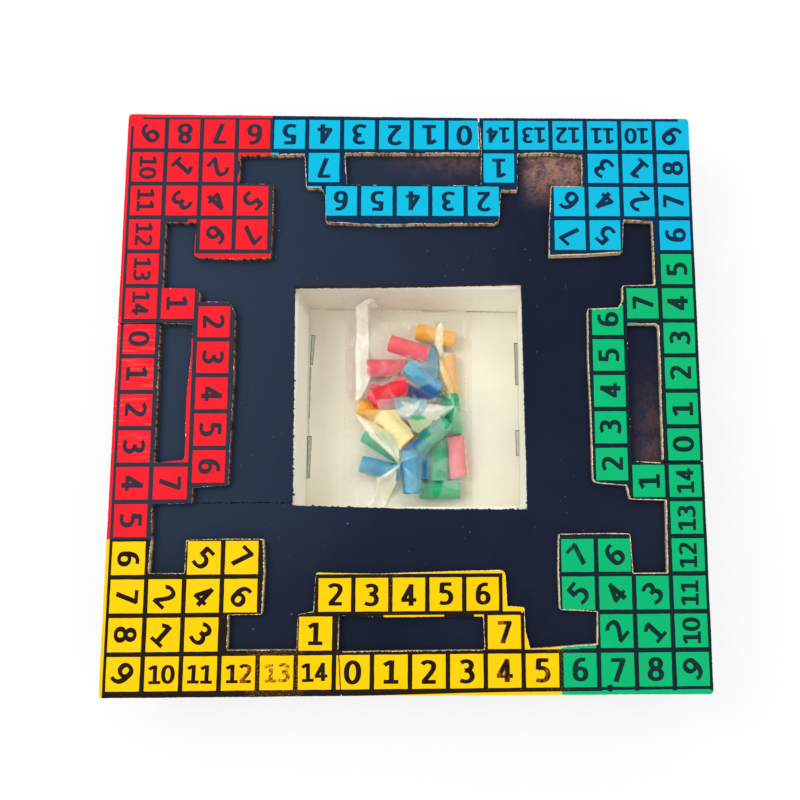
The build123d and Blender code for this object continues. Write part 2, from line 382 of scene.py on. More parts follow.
# each loop's window, from the saw kerf at its near left corner and round
windowCuts = [
    [(10.0, 1.13, 2), (9.97, 2.0, 2), (7.1, 2.0, 0), (6.16, 2.05, 2)],
    [(9.93, 1.08, 3.4), (9.93, 1.97, 1.5), (6.1, 1.97, 1.5)],
    [(9.86, 1.07, 1.5), (9.8, 2.03, 1.5), (6.0, 2.03, 1.5)],
    [(9.9, 1.15, 2.6), (9.82, 1.97, 3), (8.2, 1.95, 0), (6.9, 2.03, 0), (6.06, 2.03, 1.5)],
]
# the kerf from the edge to each window: where it starts and ends along the side, how far in, and its width in mm
kerfs = [(6.25, 6.17, 1.12, 0.8), (6.1, 6.07, 1.1, 0.8), (6.05, 6.0, 1.07, 1.1), (6.06, 6.05, 1.15, 0.8)]


def quarterTurned(x, y, side):
    for _ in range(side):
        x, y = -y, x
    return x, y


def sidePlace(side, along, deep):
    # from the frame of a side, in cutSteps, to the board
    return quarterTurned(*(v * board["cutStep"] - board["half"] for v in (along, deep)), side)


def outline(corners, step):
    # an evenly divided closed line with rounded corners; corners are x, y and radius in metres
    line = []
    count = len(corners)
    for i, (x, y, radius) in enumerate(corners):
        here = Vector((x, y))
        back = Vector(corners[i - 1][:2]) - here
        ahead = Vector(corners[(i + 1) % count][:2]) - here
        turn = back.angle(ahead, math.pi)
        # a corner that hardly turns stays as it is
        if radius <= 0 or turn >= 3.0:
            line.append(here)
            continue
        reach = min(radius / math.tan(turn / 2), back.length * 0.45, ahead.length * 0.45)
        first, last = here + back.normalized() * reach, here + ahead.normalized() * reach
        pieces = max(2, int(reach * (math.pi - turn) / step) + 1)
        for k in range(pieces + 1):
            t = k / pieces
            line.append(first * (1 - t) ** 2 + here * 2 * t * (1 - t) + last * t ** 2)
    result = []
    for i, point in enumerate(line):
        following = line[(i + 1) % len(line)]
        pieces = max(1, round((following - point).length / step))
        result += [point.lerp(following, k / pieces) for k in range(pieces)]
    return result


def curveFrom(name, lines):
    curve = bpy.data.curves.new(name, "CURVE")
    curve.dimensions = "3D"
    for line in lines:
        spline = curve.splines.new("POLY")
        spline.points.add(len(line) - 1)
        for target, point in zip(spline.points, line):
            target.co = (point[0], point[1], 0, 1)
        spline.use_cyclic_u = True
    return addObject(name, curve)


sawing = {
    "wanderScale": 38.0,
    "burrScale": 520.0,
    "flakeScale": 700.0,
    "flakeDepth": 3.0,            # in burrs
    # lumps of dried paint on the edges near the middle, and where they stand out most
    "lumpScale": 620.0,
    "lumpLevel": 0.53,
    "lumpReach": 0.15,
    "roughLeft": (-0.07, 0.012),  # to the left of x and nearer than y
    "roughNear": -0.07,
    "calm": 0.25,
    "lip": (0.05 * mm, -0.4 * mm),
    "wallSteps": (0.3, 0.65, 1.0),
    "merge": 0.004 * mm,
    "seams": (0.02 * mm, 0.1 * mm, 0.3 * mm),
}


def sawnSheetTree():
    # a sheet sawn along closed lines: material lies on the left of the line's travel
    s = Shaper("sawnSheet", ["Thickness", "Rim", "Wander", "Burr", "Seed", "Ragged"])
    x, y, z = s.axes()
    tangent = s.node("GeometryNodeInputTangent")
    outward = s.vector("NORMALIZE", s.vector("CROSS_PRODUCT", tangent, (0, 0, 1)))

    def drift(scale, amount):
        texture = s.speckle(sawing[scale], detail=1.0, seed=s.given("Seed"), output="Color")
        centred = s.vector("SUBTRACT", texture, (0.5, 0.5, 0.5))
        return s.vector("SCALE", s.vector("MULTIPLY", centred, (2, 2, 0)), scale=s.given(amount))

    line = s.shift(s.given("Geometry"), s.vector("ADD", drift("wanderScale", "Wander"), drift("burrScale", "Burr")))
    line = s.keep(line, "outward", outward, kind="FLOAT_VECTOR")
    away = s.named("outward", "FLOAT_VECTOR")
    # dried paint stands in lumps along the inner edges
    inner = (abs(x) < sawing["lumpReach"]) * (abs(y) < sawing["lumpReach"])
    left, far = sawing["roughLeft"]
    rough = either((x < left) * (y < far), y < sawing["roughNear"]) * (1 - sawing["calm"]) + sawing["calm"]
    lumps = (s.speckle(sawing["lumpScale"], detail=1.0) - sawing["lumpLevel"]).most(0.0)
    line = s.shift(line, s.vector("SCALE", away, scale=lumps * s.given("Ragged") * inner * rough))

    def moved(outwards, up):
        return s.vector("ADD", s.vector("SCALE", away, scale=outwards), s.upright(up))

    thickness = s.given("Thickness")
    inset = s.given("Rim") * -1.0
    top = s.node("GeometryNodeFillCurve", sockets={"Curve": s.shift(line, moved(inset, 0.0))})
    below = s.node("GeometryNodeFillCurve", sockets={"Curve": line})
    below = s.keep(s.shift(below, s.upright(thickness * -1.0)), "rim", 1.0)
    parts = [s.keep(top, "rim", 0.0), s.node("GeometryNodeFlipFaces", sockets={0: below})]
    # the rim and the wall, level by level: outwards, up and the rim's value
    levels = [(inset, 0.0, 0.0), (0.0, 0.0, 1.0), (*sawing["lip"], 1.0)]
    levels += [(0.0, thickness * -part, 1.0) for part in sawing["wallSteps"]]
    wire = s.node("GeometryNodeCurveToMesh", sockets={"Curve": line})
    for (out0, up0, rim0), (out1, up1, rim1) in zip(levels, levels[1:]):
        start = s.keep(s.shift(wire, moved(out0, up0)), "rim", rim0)
        leap = s.vector("SUBTRACT", moved(out1, up1), moved(out0, up0))
        strip = s.node("GeometryNodeExtrudeMesh", {"mode": "EDGES"}, {"Mesh": start, "Offset Scale": 0.0})
        far = Wire(s, strip.socket.node.outputs["Top"])
        parts.append(s.shift(s.keep(strip, "rim", rim1, selection=far), leap, selection=far))
    whole = s.node("GeometryNodeMergeByDistance", sockets={"Geometry": s.join(*parts), "Distance": sawing["merge"]})
    # chipped rim
    chip = (s.speckle(sawing["flakeScale"]) - 0.5).most(0.0) * s.given("Burr") * -sawing["flakeDepth"]
    atTop = (s.named("rim") > 0.5) * (z > -0.01 * mm)
    whole = s.shift(whole, s.upright(chip), selection=atTop)
    return s.end(s.node("GeometryNodeSetShadeSmooth", sockets={"Geometry": whole, "Shade Smooth": False}))


def recalculated(obj):
    # faces of a closed shape turned outwards
    shape = bmesh.new()
    shape.from_mesh(obj.data)
    bmesh.ops.recalc_face_normals(shape, faces=shape.faces)
    shape.to_mesh(obj.data)
    shape.free()
    return obj


def sealed(obj):
    # the last small seams of a sawn sheet closed, and its faces turned outwards
    shape = bmesh.new()
    shape.from_mesh(obj.data)
    for reach in sawing["seams"]:
        bmesh.ops.remove_doubles(shape, verts=[v for v in shape.verts if v.is_boundary], dist=reach)
        bmesh.ops.holes_fill(shape, edges=[edge for edge in shape.edges if edge.is_boundary], sides=0)
    shape.normal_update()
    outward = shape.verts.layers.float_vector["outward"]
    heights = [vert.co.z for vert in shape.verts]
    middle = (min(heights) + max(heights)) / 2
    for face in shape.faces:
        if abs(face.normal.z) > 0.5:
            facing = face.normal.z * (face.calc_center_median().z - middle)
        else:
            facing = sum(face.normal.dot(vert[outward]) for vert in face.verts)
        if facing < 0:
            face.normal_flip()
    shape.to_mesh(obj.data)
    shape.free()
    return obj


sawnSheet = sawnSheetTree()


def sawn(name, lines, cut, top, underside, material):
    # a sheet sawn along the lines, between two heights
    obj = shaped(name, curveFrom(name + "Lines", lines), sawnSheet, {
        "Thickness": top - underside, "Rim": cut["rim"], "Wander": cut["wander"], "Burr": cut["burr"],
        "Seed": cut["seed"], "Ragged": cut["ragged"], "Material": material})
    obj.data.transform(Matrix.Translation((0, 0, top)))
    return obj


inks = {
    "yellow": tone(250, 199, 4), "red": tone(231, 30, 42), "blue": tone(9, 178, 213), "green": tone(6, 178, 111),
    "fibre": tone(222, 178, 124), "pale": tone(255, 242, 210),
}
# the dark ink of lines and numbers as it comes out on each colour, and the bare fibre of the saw cuts there, painted
# lighter or darker by side as painted light: brightest on the green side, darkest on the red
darkInk = {"yellow": tone(30, 17, 6), "red": tone(52, 43, 57), "blue": tone(8, 42, 72), "green": tone(10, 46, 42)}
lineInk = {"yellow": tone(31, 25, 18), "red": tone(46, 49, 63), "blue": tone(8, 43, 73), "green": tone(17, 38, 44)}
sawnFibreAndSideLight = {"yellow": tone(255, 228, 168), "red": tone(214, 170, 134), "blue": tone(250, 216, 172),
             "green": tone(255, 236, 192)}

printing = {
    "lineHalf": 1.52 * mm,
    "lineSpread": (0.96, 1.05),
    "outerHalf": 0.5 * mm,
    "edgeThinner": 0.5 * mm,  # round the near loop
    "nearLoop": (5.2, 12.5, 0, 3.4),
    "skirt": 4.5 * mm,        # how far the ink runs on beyond the squares
    "waver": 0.14 * mm,
    "leftLoop": (1.7, 3.4, 5, 11),
    "leftDeeper": 0.034,      # how far the left loop's squares stand inwards, in squares
    # how each loop's squares stray from the grid: slope, place where they don't, and offset, in squares
    "loops": {"near": (0.015, 5.5, 0), "right": (-0.017, 8, 0), "far": (-0.010, 5.5, 0),
              "left": (-0.0072, 10.5, 0.021)},
    # rectangles on the grid: left, right, low and high, in squares
    "plainStrips": [(1.7, 4.3, 11.6, 12.0), (1.7, 2.0, 12.0, 13.0), (3.0, 4.2, 14.0, 14.3), (1.7, 2.0, 5.6, 9.5),
                    (1.8, 3.2, 10.4, 10.8), (0.8, 2.2, 6.0, 6.3), (12.0, 13.2, 1.0, 1.3), (5.4, 11.0, 3.0, 3.4),
                    (10.0, 11.4, 2.0, 3.4), (11.0, 12.5, 1.0, 2.4), (7.3, 8.9, 1.7, 2.0), (9.7, 10.0, 1.0, 2.0),
                    (14.0, 14.3, 6.0, 10.0), (4.9, 5.6, 13.0, 14.0), (1.0, 4.2, 14.7, 15.0)],
    "brushed": (-1, 1, 5.9, 10.1),
    "wholeRims": [(13.9, 14.3, 5.9, 10.1), (5.9, 10.1, 13.85, 14.3), (5.9, 10.1, 1.8, 2.1)],
    "kerfs": [(6.09, 6.21, -1, 1.1), (14.85, 17, 5.97, 6.09), (-1, 1.15, 9.86, 9.98)],
    "inside": (0.35, 15.75, 0.35, 15.75),
    # the same with an amount: lines worn to specks, near 12, 13, 4 and 5 of the near side, and rims chipped more
    "worn": [((3.7, 5.2, -1, 1.25), 1.0), ((11.6, 12.3, -1, 1.2), 0.8), ((7.2, 7.8, 1.8, 3.2), 0.7)],
    "chipped": [((6, 10, 13.85, 14.1), 0.04), ((3.9, 4.3, 2.0, 4.3), 0.12)],
    "blot": (13.28, 0.03, 0.0085),  # its middle, and its radius squared
    "wallFrom": 0.22 * mm,          # below the top
}


def loopStray(side, place):
    slope, middle, offset = printing["loops"][side]
    return (place - middle) * slope + offset


def cellWires(paint, place=None):
    # a place in the printed squares, and its height
    x, y, z = paint.axes(place)
    return (x - gridLow) / board["pitch"], (y - gridLow) / board["pitch"], z


def zone(x, y, left, right, low, high):
    # one inside a rectangle, nothing outside it
    return (x > left) * (x < right) * (y > low) * (y < high)


def quarters(x, y):
    # which squares are yellow, green and blue; the others are red
    yellow = (y < (x > 1.2) * 0.5 + 4) * (x < 12)
    green = (x > 12 - (y > 1.2) * 0.5) * (y < 12)
    blue = (y > 12 - (x < 14.8) * 0.5) * (x > (y < 14.8) * 0.5 + 4)
    return yellow, green, blue


def byQuarter(paint, parts, shades):
    colour = paint.mix(parts[0], shades["red"], shades["yellow"])
    colour = paint.mix(parts[1], colour, shades["green"])
    return paint.mix(parts[2], colour, shades["blue"])


def printedBoardMaterial():
    paint = Paint("printedBoard")
    # the print wavers a little, as if laid by hand
    wave = paint.speckle(90.0, detail=1.0, output="Color")
    waver = paint.vector("SCALE", paint.vector("SUBTRACT", wave, (0.5, 0.5, 0.5)), scale=printing["waver"])
    x, y, z = cellWires(paint, paint.vector("ADD", paint.place, waver))
    trueX, trueY, _ = cellWires(paint)
    parts = quarters(x, y)
    yellow, green, blue = parts
    colour = byQuarter(paint, parts, inks)

    def spots(name):
        return [zone(x, y, *spot) for spot in printing[name]]

    # uneven ink: broad clouds, and fine strokes along the board's left side
    cloud = paint.speckle(26.0, detail=3.0)
    stroke = paint.speckle(1.0, vector=paint.stretched(60, 620, 60))
    brushed = zone(x, y, *printing["brushed"])
    colour = paint.mix(cloud.ramp(0.4, 0.75, 0.0, 0.004), colour, tone(255, 250, 235))
    colour = paint.mix(stroke.ramp(0.52, 0.75, 0.0, 0.16) * brushed, colour, tone(255, 170, 150))
    colour = paint.mix(cloud.ramp(0.5, 0.25, 0.0, 0.08), colour, tone(90, 40, 20))

    # the lines between the squares; the loops' squares stand half a square along, and stray a little
    def onGrid(along, deep, lower, upper):
        low, high = zone(along, deep, 5, 11, 2, 3.3), zone(along, deep, 5, 11, 12.7, 14)
        return along + low * loopStray(lower, along) + high * loopStray(upper, along)

    def loopShift(along, deep):
        return either(zone(along, deep, 5, 11, 2, 3), zone(along, deep, 5, 11, 13, 14)) * 0.5

    gridX, gridY = onGrid(x, y, "near", "far"), onGrid(y, x, "left", "right")
    gridX = gridX - zone(x, y, *printing["leftLoop"]) * printing["leftDeeper"]
    thick = paint.speckle(140.0, detail=1.0).ramp(0.3, 0.7, *(printing["lineHalf"] * v for v in printing["lineSpread"]))
    outerEdge = -printing["outerHalf"] / board["pitch"]

    def lines(along, deep):
        place = along + loopShift(along, deep)
        gap = abs((place + 0.5).fract() - 0.5) * board["pitch"]
        return (gap < thick) * (1 - (along < outerEdge))

    # the lines end with the squares: the layout is alike on all sides, so it is folded to one of them
    foldX, foldY = abs(gridX - 8), abs(gridY - 8)
    far, near = foldX.most(foldY), foldX.least(foldY)

    def squared(reach):
        secondRow = (far > 6 - reach) * either((near > 2 - reach) * (near < 3 + reach), near > 5 - reach)
        thirdRow = (far > 5 - reach) * either(near < 2.5 + reach, near > 4 - reach)
        fourthRow = (far > 4 - reach) * (near > 4 - reach)
        return either(far > 7 - reach, secondRow * (far < 7), thirdRow * (far < 6 + reach), fourthRow * (far < 5))

    thinner = zone(x, y, *printing["nearLoop"]) * printing["edgeThinner"]
    dark = lines(gridX, y).most(lines(gridY, x)) * squared((printing["lineHalf"] - thinner) / board["pitch"])
    # beyond the squares the ink runs on to the cut, but for a few strips of plain colour
    skirt = squared(printing["skirt"] / board["pitch"]) - squared(0.0)
    dark = dark.most((skirt > 0.5) * (1 - either(*spots("plainStrips"))))
    beyond = either(x > 16, y > 16, (y < 0) * (x < 13))
    bareCorner = either((trueX < 0.3) * (trueY > 15.74) * either(trueX < 0.06, trueY > 15.94),
                        (x < 4) * (trueY > 15.997), (trueX > 15.9) * (trueY > 15.06),
                        (trueX > 15.72) * (trueY > 15.9))
    strip = either(x < outerEdge, (y < x.ramp(6.15, 11.0, -0.105, -0.045)) * (x > 6.2))
    blotX, blotY, blotSize = printing["blot"]
    blot = ((x - blotX) * (x - blotX) + (y - blotY) * (y - blotY)) < blotSize
    dark = (dark.most(beyond) * (1 - strip) * (1 - bareCorner)).most(blot)
    # worn patches: specks of colour in the lines
    rub = either(*(zone(trueX, trueY, *spot) * amount for spot, amount in printing["worn"]))
    fleck = paint.speckle(1300.0, detail=3.0, roughness=0.7)
    flecked = (fleck + rub * 0.10) > 0.69
    inked = paint.mix(flecked * (1 - strip), byQuarter(paint, parts, lineInk), tone(168, 112, 30))
    colour = paint.mix(dark, colour, inked)

    # chipped rim along every cut
    rim = paint.attribute("rim")
    grain = paint.speckle(620.0, detail=3.0, roughness=0.65)
    coarse = paint.speckle(75.0)
    facing = 1 - either(*spots("wholeRims"))
    chipped = green * 0.05 + blue * 0.03 + rim * (green * 0.6 + blue * 0.28 + yellow * 0.3) * facing
    for spot, amount in printing["chipped"]:
        chipped = chipped + zone(x, y, *spot) * amount
    kerf = either(*spots("kerfs"))
    inside = zone(x, y, *printing["inside"])
    chips = ((rim * 0.5 + (grain - 0.5) * 1.3 + (coarse - 0.5) + chipped) > 0.66) * (rim > 0.03) * (1 - kerf)
    outerChips = (rim * 0.5 + (grain - 0.5)) > 0.66
    fibre = paint.mix(grain.ramp(0.4, 0.65), inks["fibre"], inks["pale"])
    colour = paint.mix(chips * inside + outerChips * (1 - inside) * (1 - kerf), colour, fibre)
    # the sawn wall: bare fibre above, browner and smudged with black paint at the foot, with painted shade there too
    wall = z < board["trackTop"] - printing["wallFrom"]
    depth = (board["trackTop"] - z) / (board["trackTop"] - board["deckTop"])
    fuzz = paint.speckle(1.0, detail=3.0, vector=paint.stretched(900, 900, 2200))
    teeth = paint.speckle(1.0, vector=paint.stretched(420, 420, 70))
    bare = paint.mix(fuzz.ramp(0.35, 0.65, 0.0, 0.35), byQuarter(paint, parts, sawnFibreAndSideLight), tone(120, 84, 60))
    # painted shade in the saw-tooth marks, weaker on the green, yellow and blue sides
    toothShade = teeth.ramp(0.50, 0.58) * (0.88 - green * 0.5 - yellow * 0.4 - blue * 0.15)
    bare = paint.mix(toothShade, bare, tone(84, 54, 42))
    # black paint and painted shade towards the foot, weaker on the green, yellow and blue sides, and painted shade
    # darkening the narrow kerfs
    footSmudgeAndShade = (depth + (fuzz - 0.5) * 0.5 - yellow * 0.25 - green * 0.3 - blue * 0.35).ramp(0.26, 0.52)
    bare = paint.mix((footSmudgeAndShade * 0.8).most(kerf * 0.85), bare, tone(40, 28, 26))
    soft = (chips * inside).most(wall)
    return paint.shaded(Base_Color=paint.mix(wall, colour, bare), Roughness=soft.ramp(0, 1, 0.45, 0.85),
                        Specular_IOR_Level=0.03, Normal=paint.bump(grain * 0.4 + fuzz * soft, 0.25, 0.0003))


def deckMaterial():
    paint = Paint("blackDeck")
    x, y, z = cellWires(paint)
    cloud = paint.speckle(9.0, detail=4.0, roughness=0.6)
    fine = paint.speckle(700.0, detail=3.0, roughness=0.7)
    # painted light and shade: greyer to the left, darker to the right and towards the near side
    colour = paint.mix((x - y * 0.25).ramp(-3.0, 9.5), tone(42, 55, 75), tone(20, 26, 45))
    colour = paint.mix(y.ramp(5.5, 2.0, 0.0, 0.6), colour, tone(18, 22, 38))
    colour = paint.mix(cloud.ramp(0.35, 0.75, 0.0, 0.22), colour, tone(48, 57, 78))
    colour = paint.mix(fine.ramp(0.55, 0.8, 0.0, 0.06), colour, tone(92, 92, 104))
    # in the far right bay and in two of the windows: paint rubbed thin to the brown board, under a painted reflection
    # of glare
    bay = x.ramp(11.0, 11.6) * x.ramp(13.6, 12.6) * y.ramp(13.2, 14.8) * (y < 15.3)
    farWindow = x.ramp(6.4, 10.0) * (x < 10.2) * y.ramp(13.9, 14.9)
    rightWindow = x.ramp(13.9, 14.8) * (y > 5.5) * y.ramp(9.3, 6.2)
    rubbed = bay * 0.78 + farWindow * y.ramp(14.0, 15.0, 0.10, 0.22) + rightWindow * 0.17
    blotch = paint.speckle(150.0, detail=4.0, roughness=0.7)
    rubbed = rubbed * fine.ramp(0.3, 0.65, 0.62, 1.12) * blotch.ramp(0.3, 0.5, 0.65, 1.1)
    bareAndGlare = paint.mix(blotch.ramp(0.40, 0.58), tone(124, 96, 96), tone(172, 126, 108))
    bareAndGlare = paint.mix(paint.speckle(190.0).ramp(0.56, 0.68, 0.0, 0.6), bareAndGlare, tone(116, 112, 92))
    colour = paint.mix(rubbed, colour, bareAndGlare)
    rim = paint.attribute("rim")
    grain = paint.speckle(480.0, detail=3.0, roughness=0.7)
    inner = zone(x, y, 3, 13, 3, 13)
    torn = ((rim * 0.5 + (grain - 0.5)) > 0.58) * inner
    colour = paint.mix(torn, colour, tone(30, 22, 22))
    wall = z < board["deckTop"] - deck["wallFrom"]
    wallColour = paint.mix((y > 10.8) * inner, tone(12, 13, 20), tone(62, 30, 26))
    colour = paint.mix(wall * (1 - (1 - inner) * 0.85), colour, wallColour)
    return paint.shaded(Base_Color=colour, Roughness=cloud.ramp(0.3, 0.7, 0.42, 0.58), Specular_IOR_Level=0.03,
                        Normal=paint.bump(fine + grain * 0.5, 0.12, 0.0002))


track = {"step": 0.6 * mm, "rim": 0.8 * mm, "wander": 0.3 * mm, "burr": 0.26 * mm, "seed": 4.0, "ragged": 0.0}
deck = {"step": 0.6 * mm, "rim": 0.8 * mm, "wander": 0.25 * mm, "burr": 0.55 * mm, "seed": 11.0, "ragged": 6.5 * mm,
        "round": 0.003, "kerf": 0.7 * mm, "kerfPlace": -0.0742, "wallFrom": 0.25 * mm,
        # corners of the opening and middles of its far and near edges, with their round, from the far left one
        "opening": [(-0.0815, 0.0774, 0.0015), (0.0, 0.0780, 0), (0.0783, 0.0795, 0.001),
                    (0.0804, -0.0798, 0.0012), (0.0, -0.0788, 0), (-0.0801, -0.0760, 0.0008)]}


def trackLines():
    inner, outer = [], []
    for side in range(4):
        inner += [(*sidePlace(side, along, deep), radius * mm) for along, deep, radius in innerCuts[side]]
        x, y = sidePlace(side, 0, 0)
        strayX, strayY = board["cornerStray"][side]
        outer.append((x + strayX, y + strayY, board["cornerRound"]))
        # up the kerf, round the window and back down
        foot, head, top, width = kerfs[side]
        half = width * mm / 2 / board["cutStep"]
        path = [(foot - half, 0, 0), (head - half, top, 0), *reversed(windowCuts[side]),
                (head + half, top, 0), (foot + half, 0, 0)]
        outer += [(*sidePlace(side, along, deep), radius * mm) for along, deep, radius in path]
    return outer, list(reversed(inner))


def makeTrack(material):
    lines = [outline(corners, track["step"]) for corners in trackLines()]
    obj = sawn("numberTrack", lines, track, board["trackTop"], board["deckTop"], material)
    return dress(sealed(obj), material, "board", "number_track")


def makeDeck(material):
    edge, left = board["half"], deck["opening"][-1][0]
    low, high = (deck["kerfPlace"] + deck["kerf"] / 2 * way for way in (-1, 1))
    # one line: round the edge, in along the kerf, round the opening and out again
    corners = [(x * edge, y * edge, deck["round"]) for x, y in ((-1, -1), (1, -1), (1, 1), (-1, 1))]
    corners += [(-edge, high, 0), (left, high, 0), *deck["opening"], (left, low, 0), (-edge, low, 0)]
    obj = sawn("blackDeck", [outline(corners, deck["step"])], deck, board["deckTop"], board["deckUnderside"], material)
    return dress(sealed(obj), material, "board", "black_deck")


makeTrack(printedBoardMaterial())
makeDeck(deckMaterial())
print("number track and deck are sawn")


# strokes of each digit in a box one high: the points of lines and smoothed bends, the middle and reach of rings
digitStrokes = {
    0: [("ring", (0.36, 0.5), (0.262, 0.428))],
    1: [("line", (0.375, 0.0), (0.375, 0.985)), ("line", (0.05, 0.775), (0.34, 0.93)),
        ("line", (0.04, 0.065), (0.69, 0.065))],
    2: [("bent", (0.075, 0.83), (0.20, 0.915), (0.36, 0.935), (0.54, 0.87), (0.585, 0.72), (0.53, 0.56), (0.38, 0.36),
         (0.14, 0.09)), ("line", (0.06, 0.07), (0.68, 0.07))],
    3: [("bent", (0.10, 0.87), (0.30, 0.935), (0.49, 0.89), (0.56, 0.75), (0.48, 0.59), (0.27, 0.535)),
        ("bent", (0.27, 0.535), (0.50, 0.48), (0.59, 0.29), (0.51, 0.12), (0.30, 0.062), (0.06, 0.12))],
    4: [("line", (0.47, 0.0), (0.47, 0.99)), ("line", (0.50, 0.95), (0.10, 0.27)),
        ("line", (0.02, 0.265), (0.72, 0.265))],
    5: [("line", (0.12, 0.93), (0.61, 0.93)), ("line", (0.185, 0.98), (0.165, 0.53)),
        ("bent", (0.15, 0.57), (0.33, 0.60), (0.52, 0.52), (0.59, 0.32), (0.50, 0.12), (0.29, 0.062), (0.08, 0.10))],
    6: [("ring", (0.37, 0.31), (0.238, 0.243)),
        ("bent", (0.60, 0.915), (0.42, 0.93), (0.24, 0.83), (0.145, 0.60), (0.135, 0.33))],
    7: [("line", (0.05, 0.93), (0.66, 0.93)), ("line", (0.60, 0.97), (0.24, 0.0))],
    8: [("ring", (0.36, 0.735), (0.208, 0.198)), ("ring", (0.36, 0.278), (0.250, 0.214))],
    9: [("ring", (0.35, 0.69), (0.238, 0.243)),
        ("bent", (0.12, 0.085), (0.30, 0.07), (0.48, 0.17), (0.575, 0.40), (0.585, 0.67))],
}

numbers = {
    "stroke": 0.168,        # thickness of level strokes, in digit heights
    "contrast": 1.36,       # how much heavier the upright ones are
    "single": 0.575,        # digit height in squares
    "double": 0.475,
    "largerAcross": 1.045,  # single digits of the near and far sides
    "advance": 0.345,       # step between the two digits of a number, in squares
    "middle": (0.36, 0.5),  # of a digit's box
    "ringPieces": 28,
    "ringPower": 2.25,      # a little squarer than an ellipse
    "strokeStep": 0.3,      # how much each stroke lies over the last, in ink depths
    "inkDepth": 0.04 * mm,
    "sunk": 0.01 * mm,
    "lean": 1.5,            # degrees
    "offX": (-0.3 * mm, 0.45 * mm),
    "offY": (-0.35 * mm, 0.35 * mm),
    "sizes": (0.985, 1.015),
    "seed": 7,
}


def smoothLine(points, closed=False, pieces=6):
    # points of a soft curve through the given ones
    count = len(points)
    result = []
    for i in range(count if closed else count - 1):
        if closed:
            a, b, c, d = (Vector(points[(i + k - 1) % count]) for k in range(4))
        else:
            b, c = Vector(points[i]), Vector(points[i + 1])
            a = Vector(points[i - 1]) if i else b * 2 - c
            d = Vector(points[i + 2]) if i + 2 < count else c * 2 - b
        for k in range(pieces):
            t = k / pieces
            bend, twist = a * 2 - b * 5 + c * 4 - d, b * 3 - a - c * 3 + d
            result.append(0.5 * (b * 2 + (c - a) * t + bend * t * t + twist * t ** 3))
    if not closed:
        result.append(Vector(points[-1]))
    return result


def digitMesh(digit):
    half = numbers["stroke"] / 2
    squash = numbers["contrast"]
    boxX, boxY = numbers["middle"]
    shape = bmesh.new()
    for level, (kind, *marks) in enumerate(digitStrokes[digit]):
        closed = kind == "ring"
        if closed:
            (middleX, middleY), (reachX, reachY) = marks
            power = 2 / numbers["ringPower"]
            line = []
            for k in range(numbers["ringPieces"]):
                turn = 2 * math.pi * k / numbers["ringPieces"]
                c, n = math.cos(turn), math.sin(turn)
                line.append(Vector((middleX + reachX * math.copysign(abs(c) ** power, c),
                                    middleY + reachY * math.copysign(abs(n) ** power, n))))
        else:
            line = smoothLine(marks) if kind == "bent" else [Vector(p) for p in marks]
        line = [Vector((p.x / squash, p.y)) for p in line]
        # the stroke's section, point by point: left and right below, right and left above, a hair of ink apart
        sections = []
        count = len(line)
        low = level * numbers["strokeStep"]
        for i, point in enumerate(line):
            back = line[i - 1] if i or closed else point
            ahead = line[(i + 1) % count] if i + 1 < count or closed else point
            way = (ahead - back).normalized()
            across = Vector((-way.y, way.x)) * half
            left, right = point + across, point - across
            corners = ((left, low), (right, low), (right, low + 1.0), (left, low + 1.0))
            sections.append([shape.verts.new((p.x * squash - boxX, p.y - boxY, z)) for p, z in corners])
        for i in range(count if closed else count - 1):
            a, b = sections[i], sections[(i + 1) % count]
            for k in range(4):
                shape.faces.new((a[k - 1], a[k], b[k], b[k - 1]))
        if not closed:
            shape.faces.new(sections[0])
            shape.faces.new(sections[-1])
    bmesh.ops.recalc_face_normals(shape, faces=shape.faces)
    return meshOf(f"digit{digit}", shape)


def squareNumbersTree():
    s = Shaper("squareNumbers", ["Ink Depth"], Digits="Collection")
    stamps = s.node("GeometryNodeCollectionInfo", sockets={
        "Collection": s.given("Digits"), "Separate Children": True, "Reset Children": True})
    size = s.named("size")
    scale = s.node("ShaderNodeCombineXYZ", sockets={0: size, 1: size, 2: s.given("Ink Depth")})
    spin = s.node("FunctionNodeEulerToRotation", sockets={0: s.upright(s.named("turn"))})
    stamped = s.node("GeometryNodeInstanceOnPoints", sockets={
        "Points": s.given("Geometry"), "Instance": stamps, "Pick Instance": True,
        "Instance Index": s.named("digit", "INT"), "Rotation": spin, "Scale": scale})
    return s.end(stamped)


def squareCentre(side, along, deep):
    # middle of a printed square, counted along and in from the near left corner of a side
    x, y = quarterTurned(*((v + 0.5 - 8) * board["pitch"] for v in (along, deep)), side)
    return x + board["shift"], y + board["shift"]


def numberPlaces():
    # side, along, deep, number and turn; the numbers read from the middle of the board
    places = []
    corner = {(1, 1): 1, (2, 1): 3, (1, 2): 2, (2, 2): 4, (3, 2): 6, (2, 3): 5, (3, 3): 7}
    for side in range(4):
        # the outer row is numbered 9 to 14 and then 0 to 8 along each side
        places += [(side, along, 0, (along + 9) % 15, 0 if along else -45) for along in range(15)]
        places += [(side, along, deep, value, -42) for (along, deep), value in corner.items()]
        places += [(side, 5, 1, 1, 0), (side, 10, 1, 7, 0)]
        for k in range(5):
            along = 5.5 + k
            stray = loopStray(sides[side], along + 0.5 if side < 2 else 15.5 - along)
            deep = 2 + printing["leftDeeper"] * (side == 3)
            places.append((side, along - stray if side < 2 else along + stray, deep, 2 + k, 0))
    return places


# squares whose ink has rubbed off, and how much: side, along, deep
rubbedInk = {(0, 4, 0): 0.80, (0, 3, 0): 0.45, (0, 1, 0): 0.2, (0, 10, 0): 0.42, (0, 11, 0): 0.3, (0, 10, 1): 0.38,
             (0, 9, 0): 0.1, (1, 2, 3): 0.35, (1, 3, 3): 0.42, (2, 7.5, 2): 0.4, (2, 3, 0): 0.35, (2, 10, 0): 0.3,
             (1, 4, 0): 0.2, (1, 5, 0): 0.2}


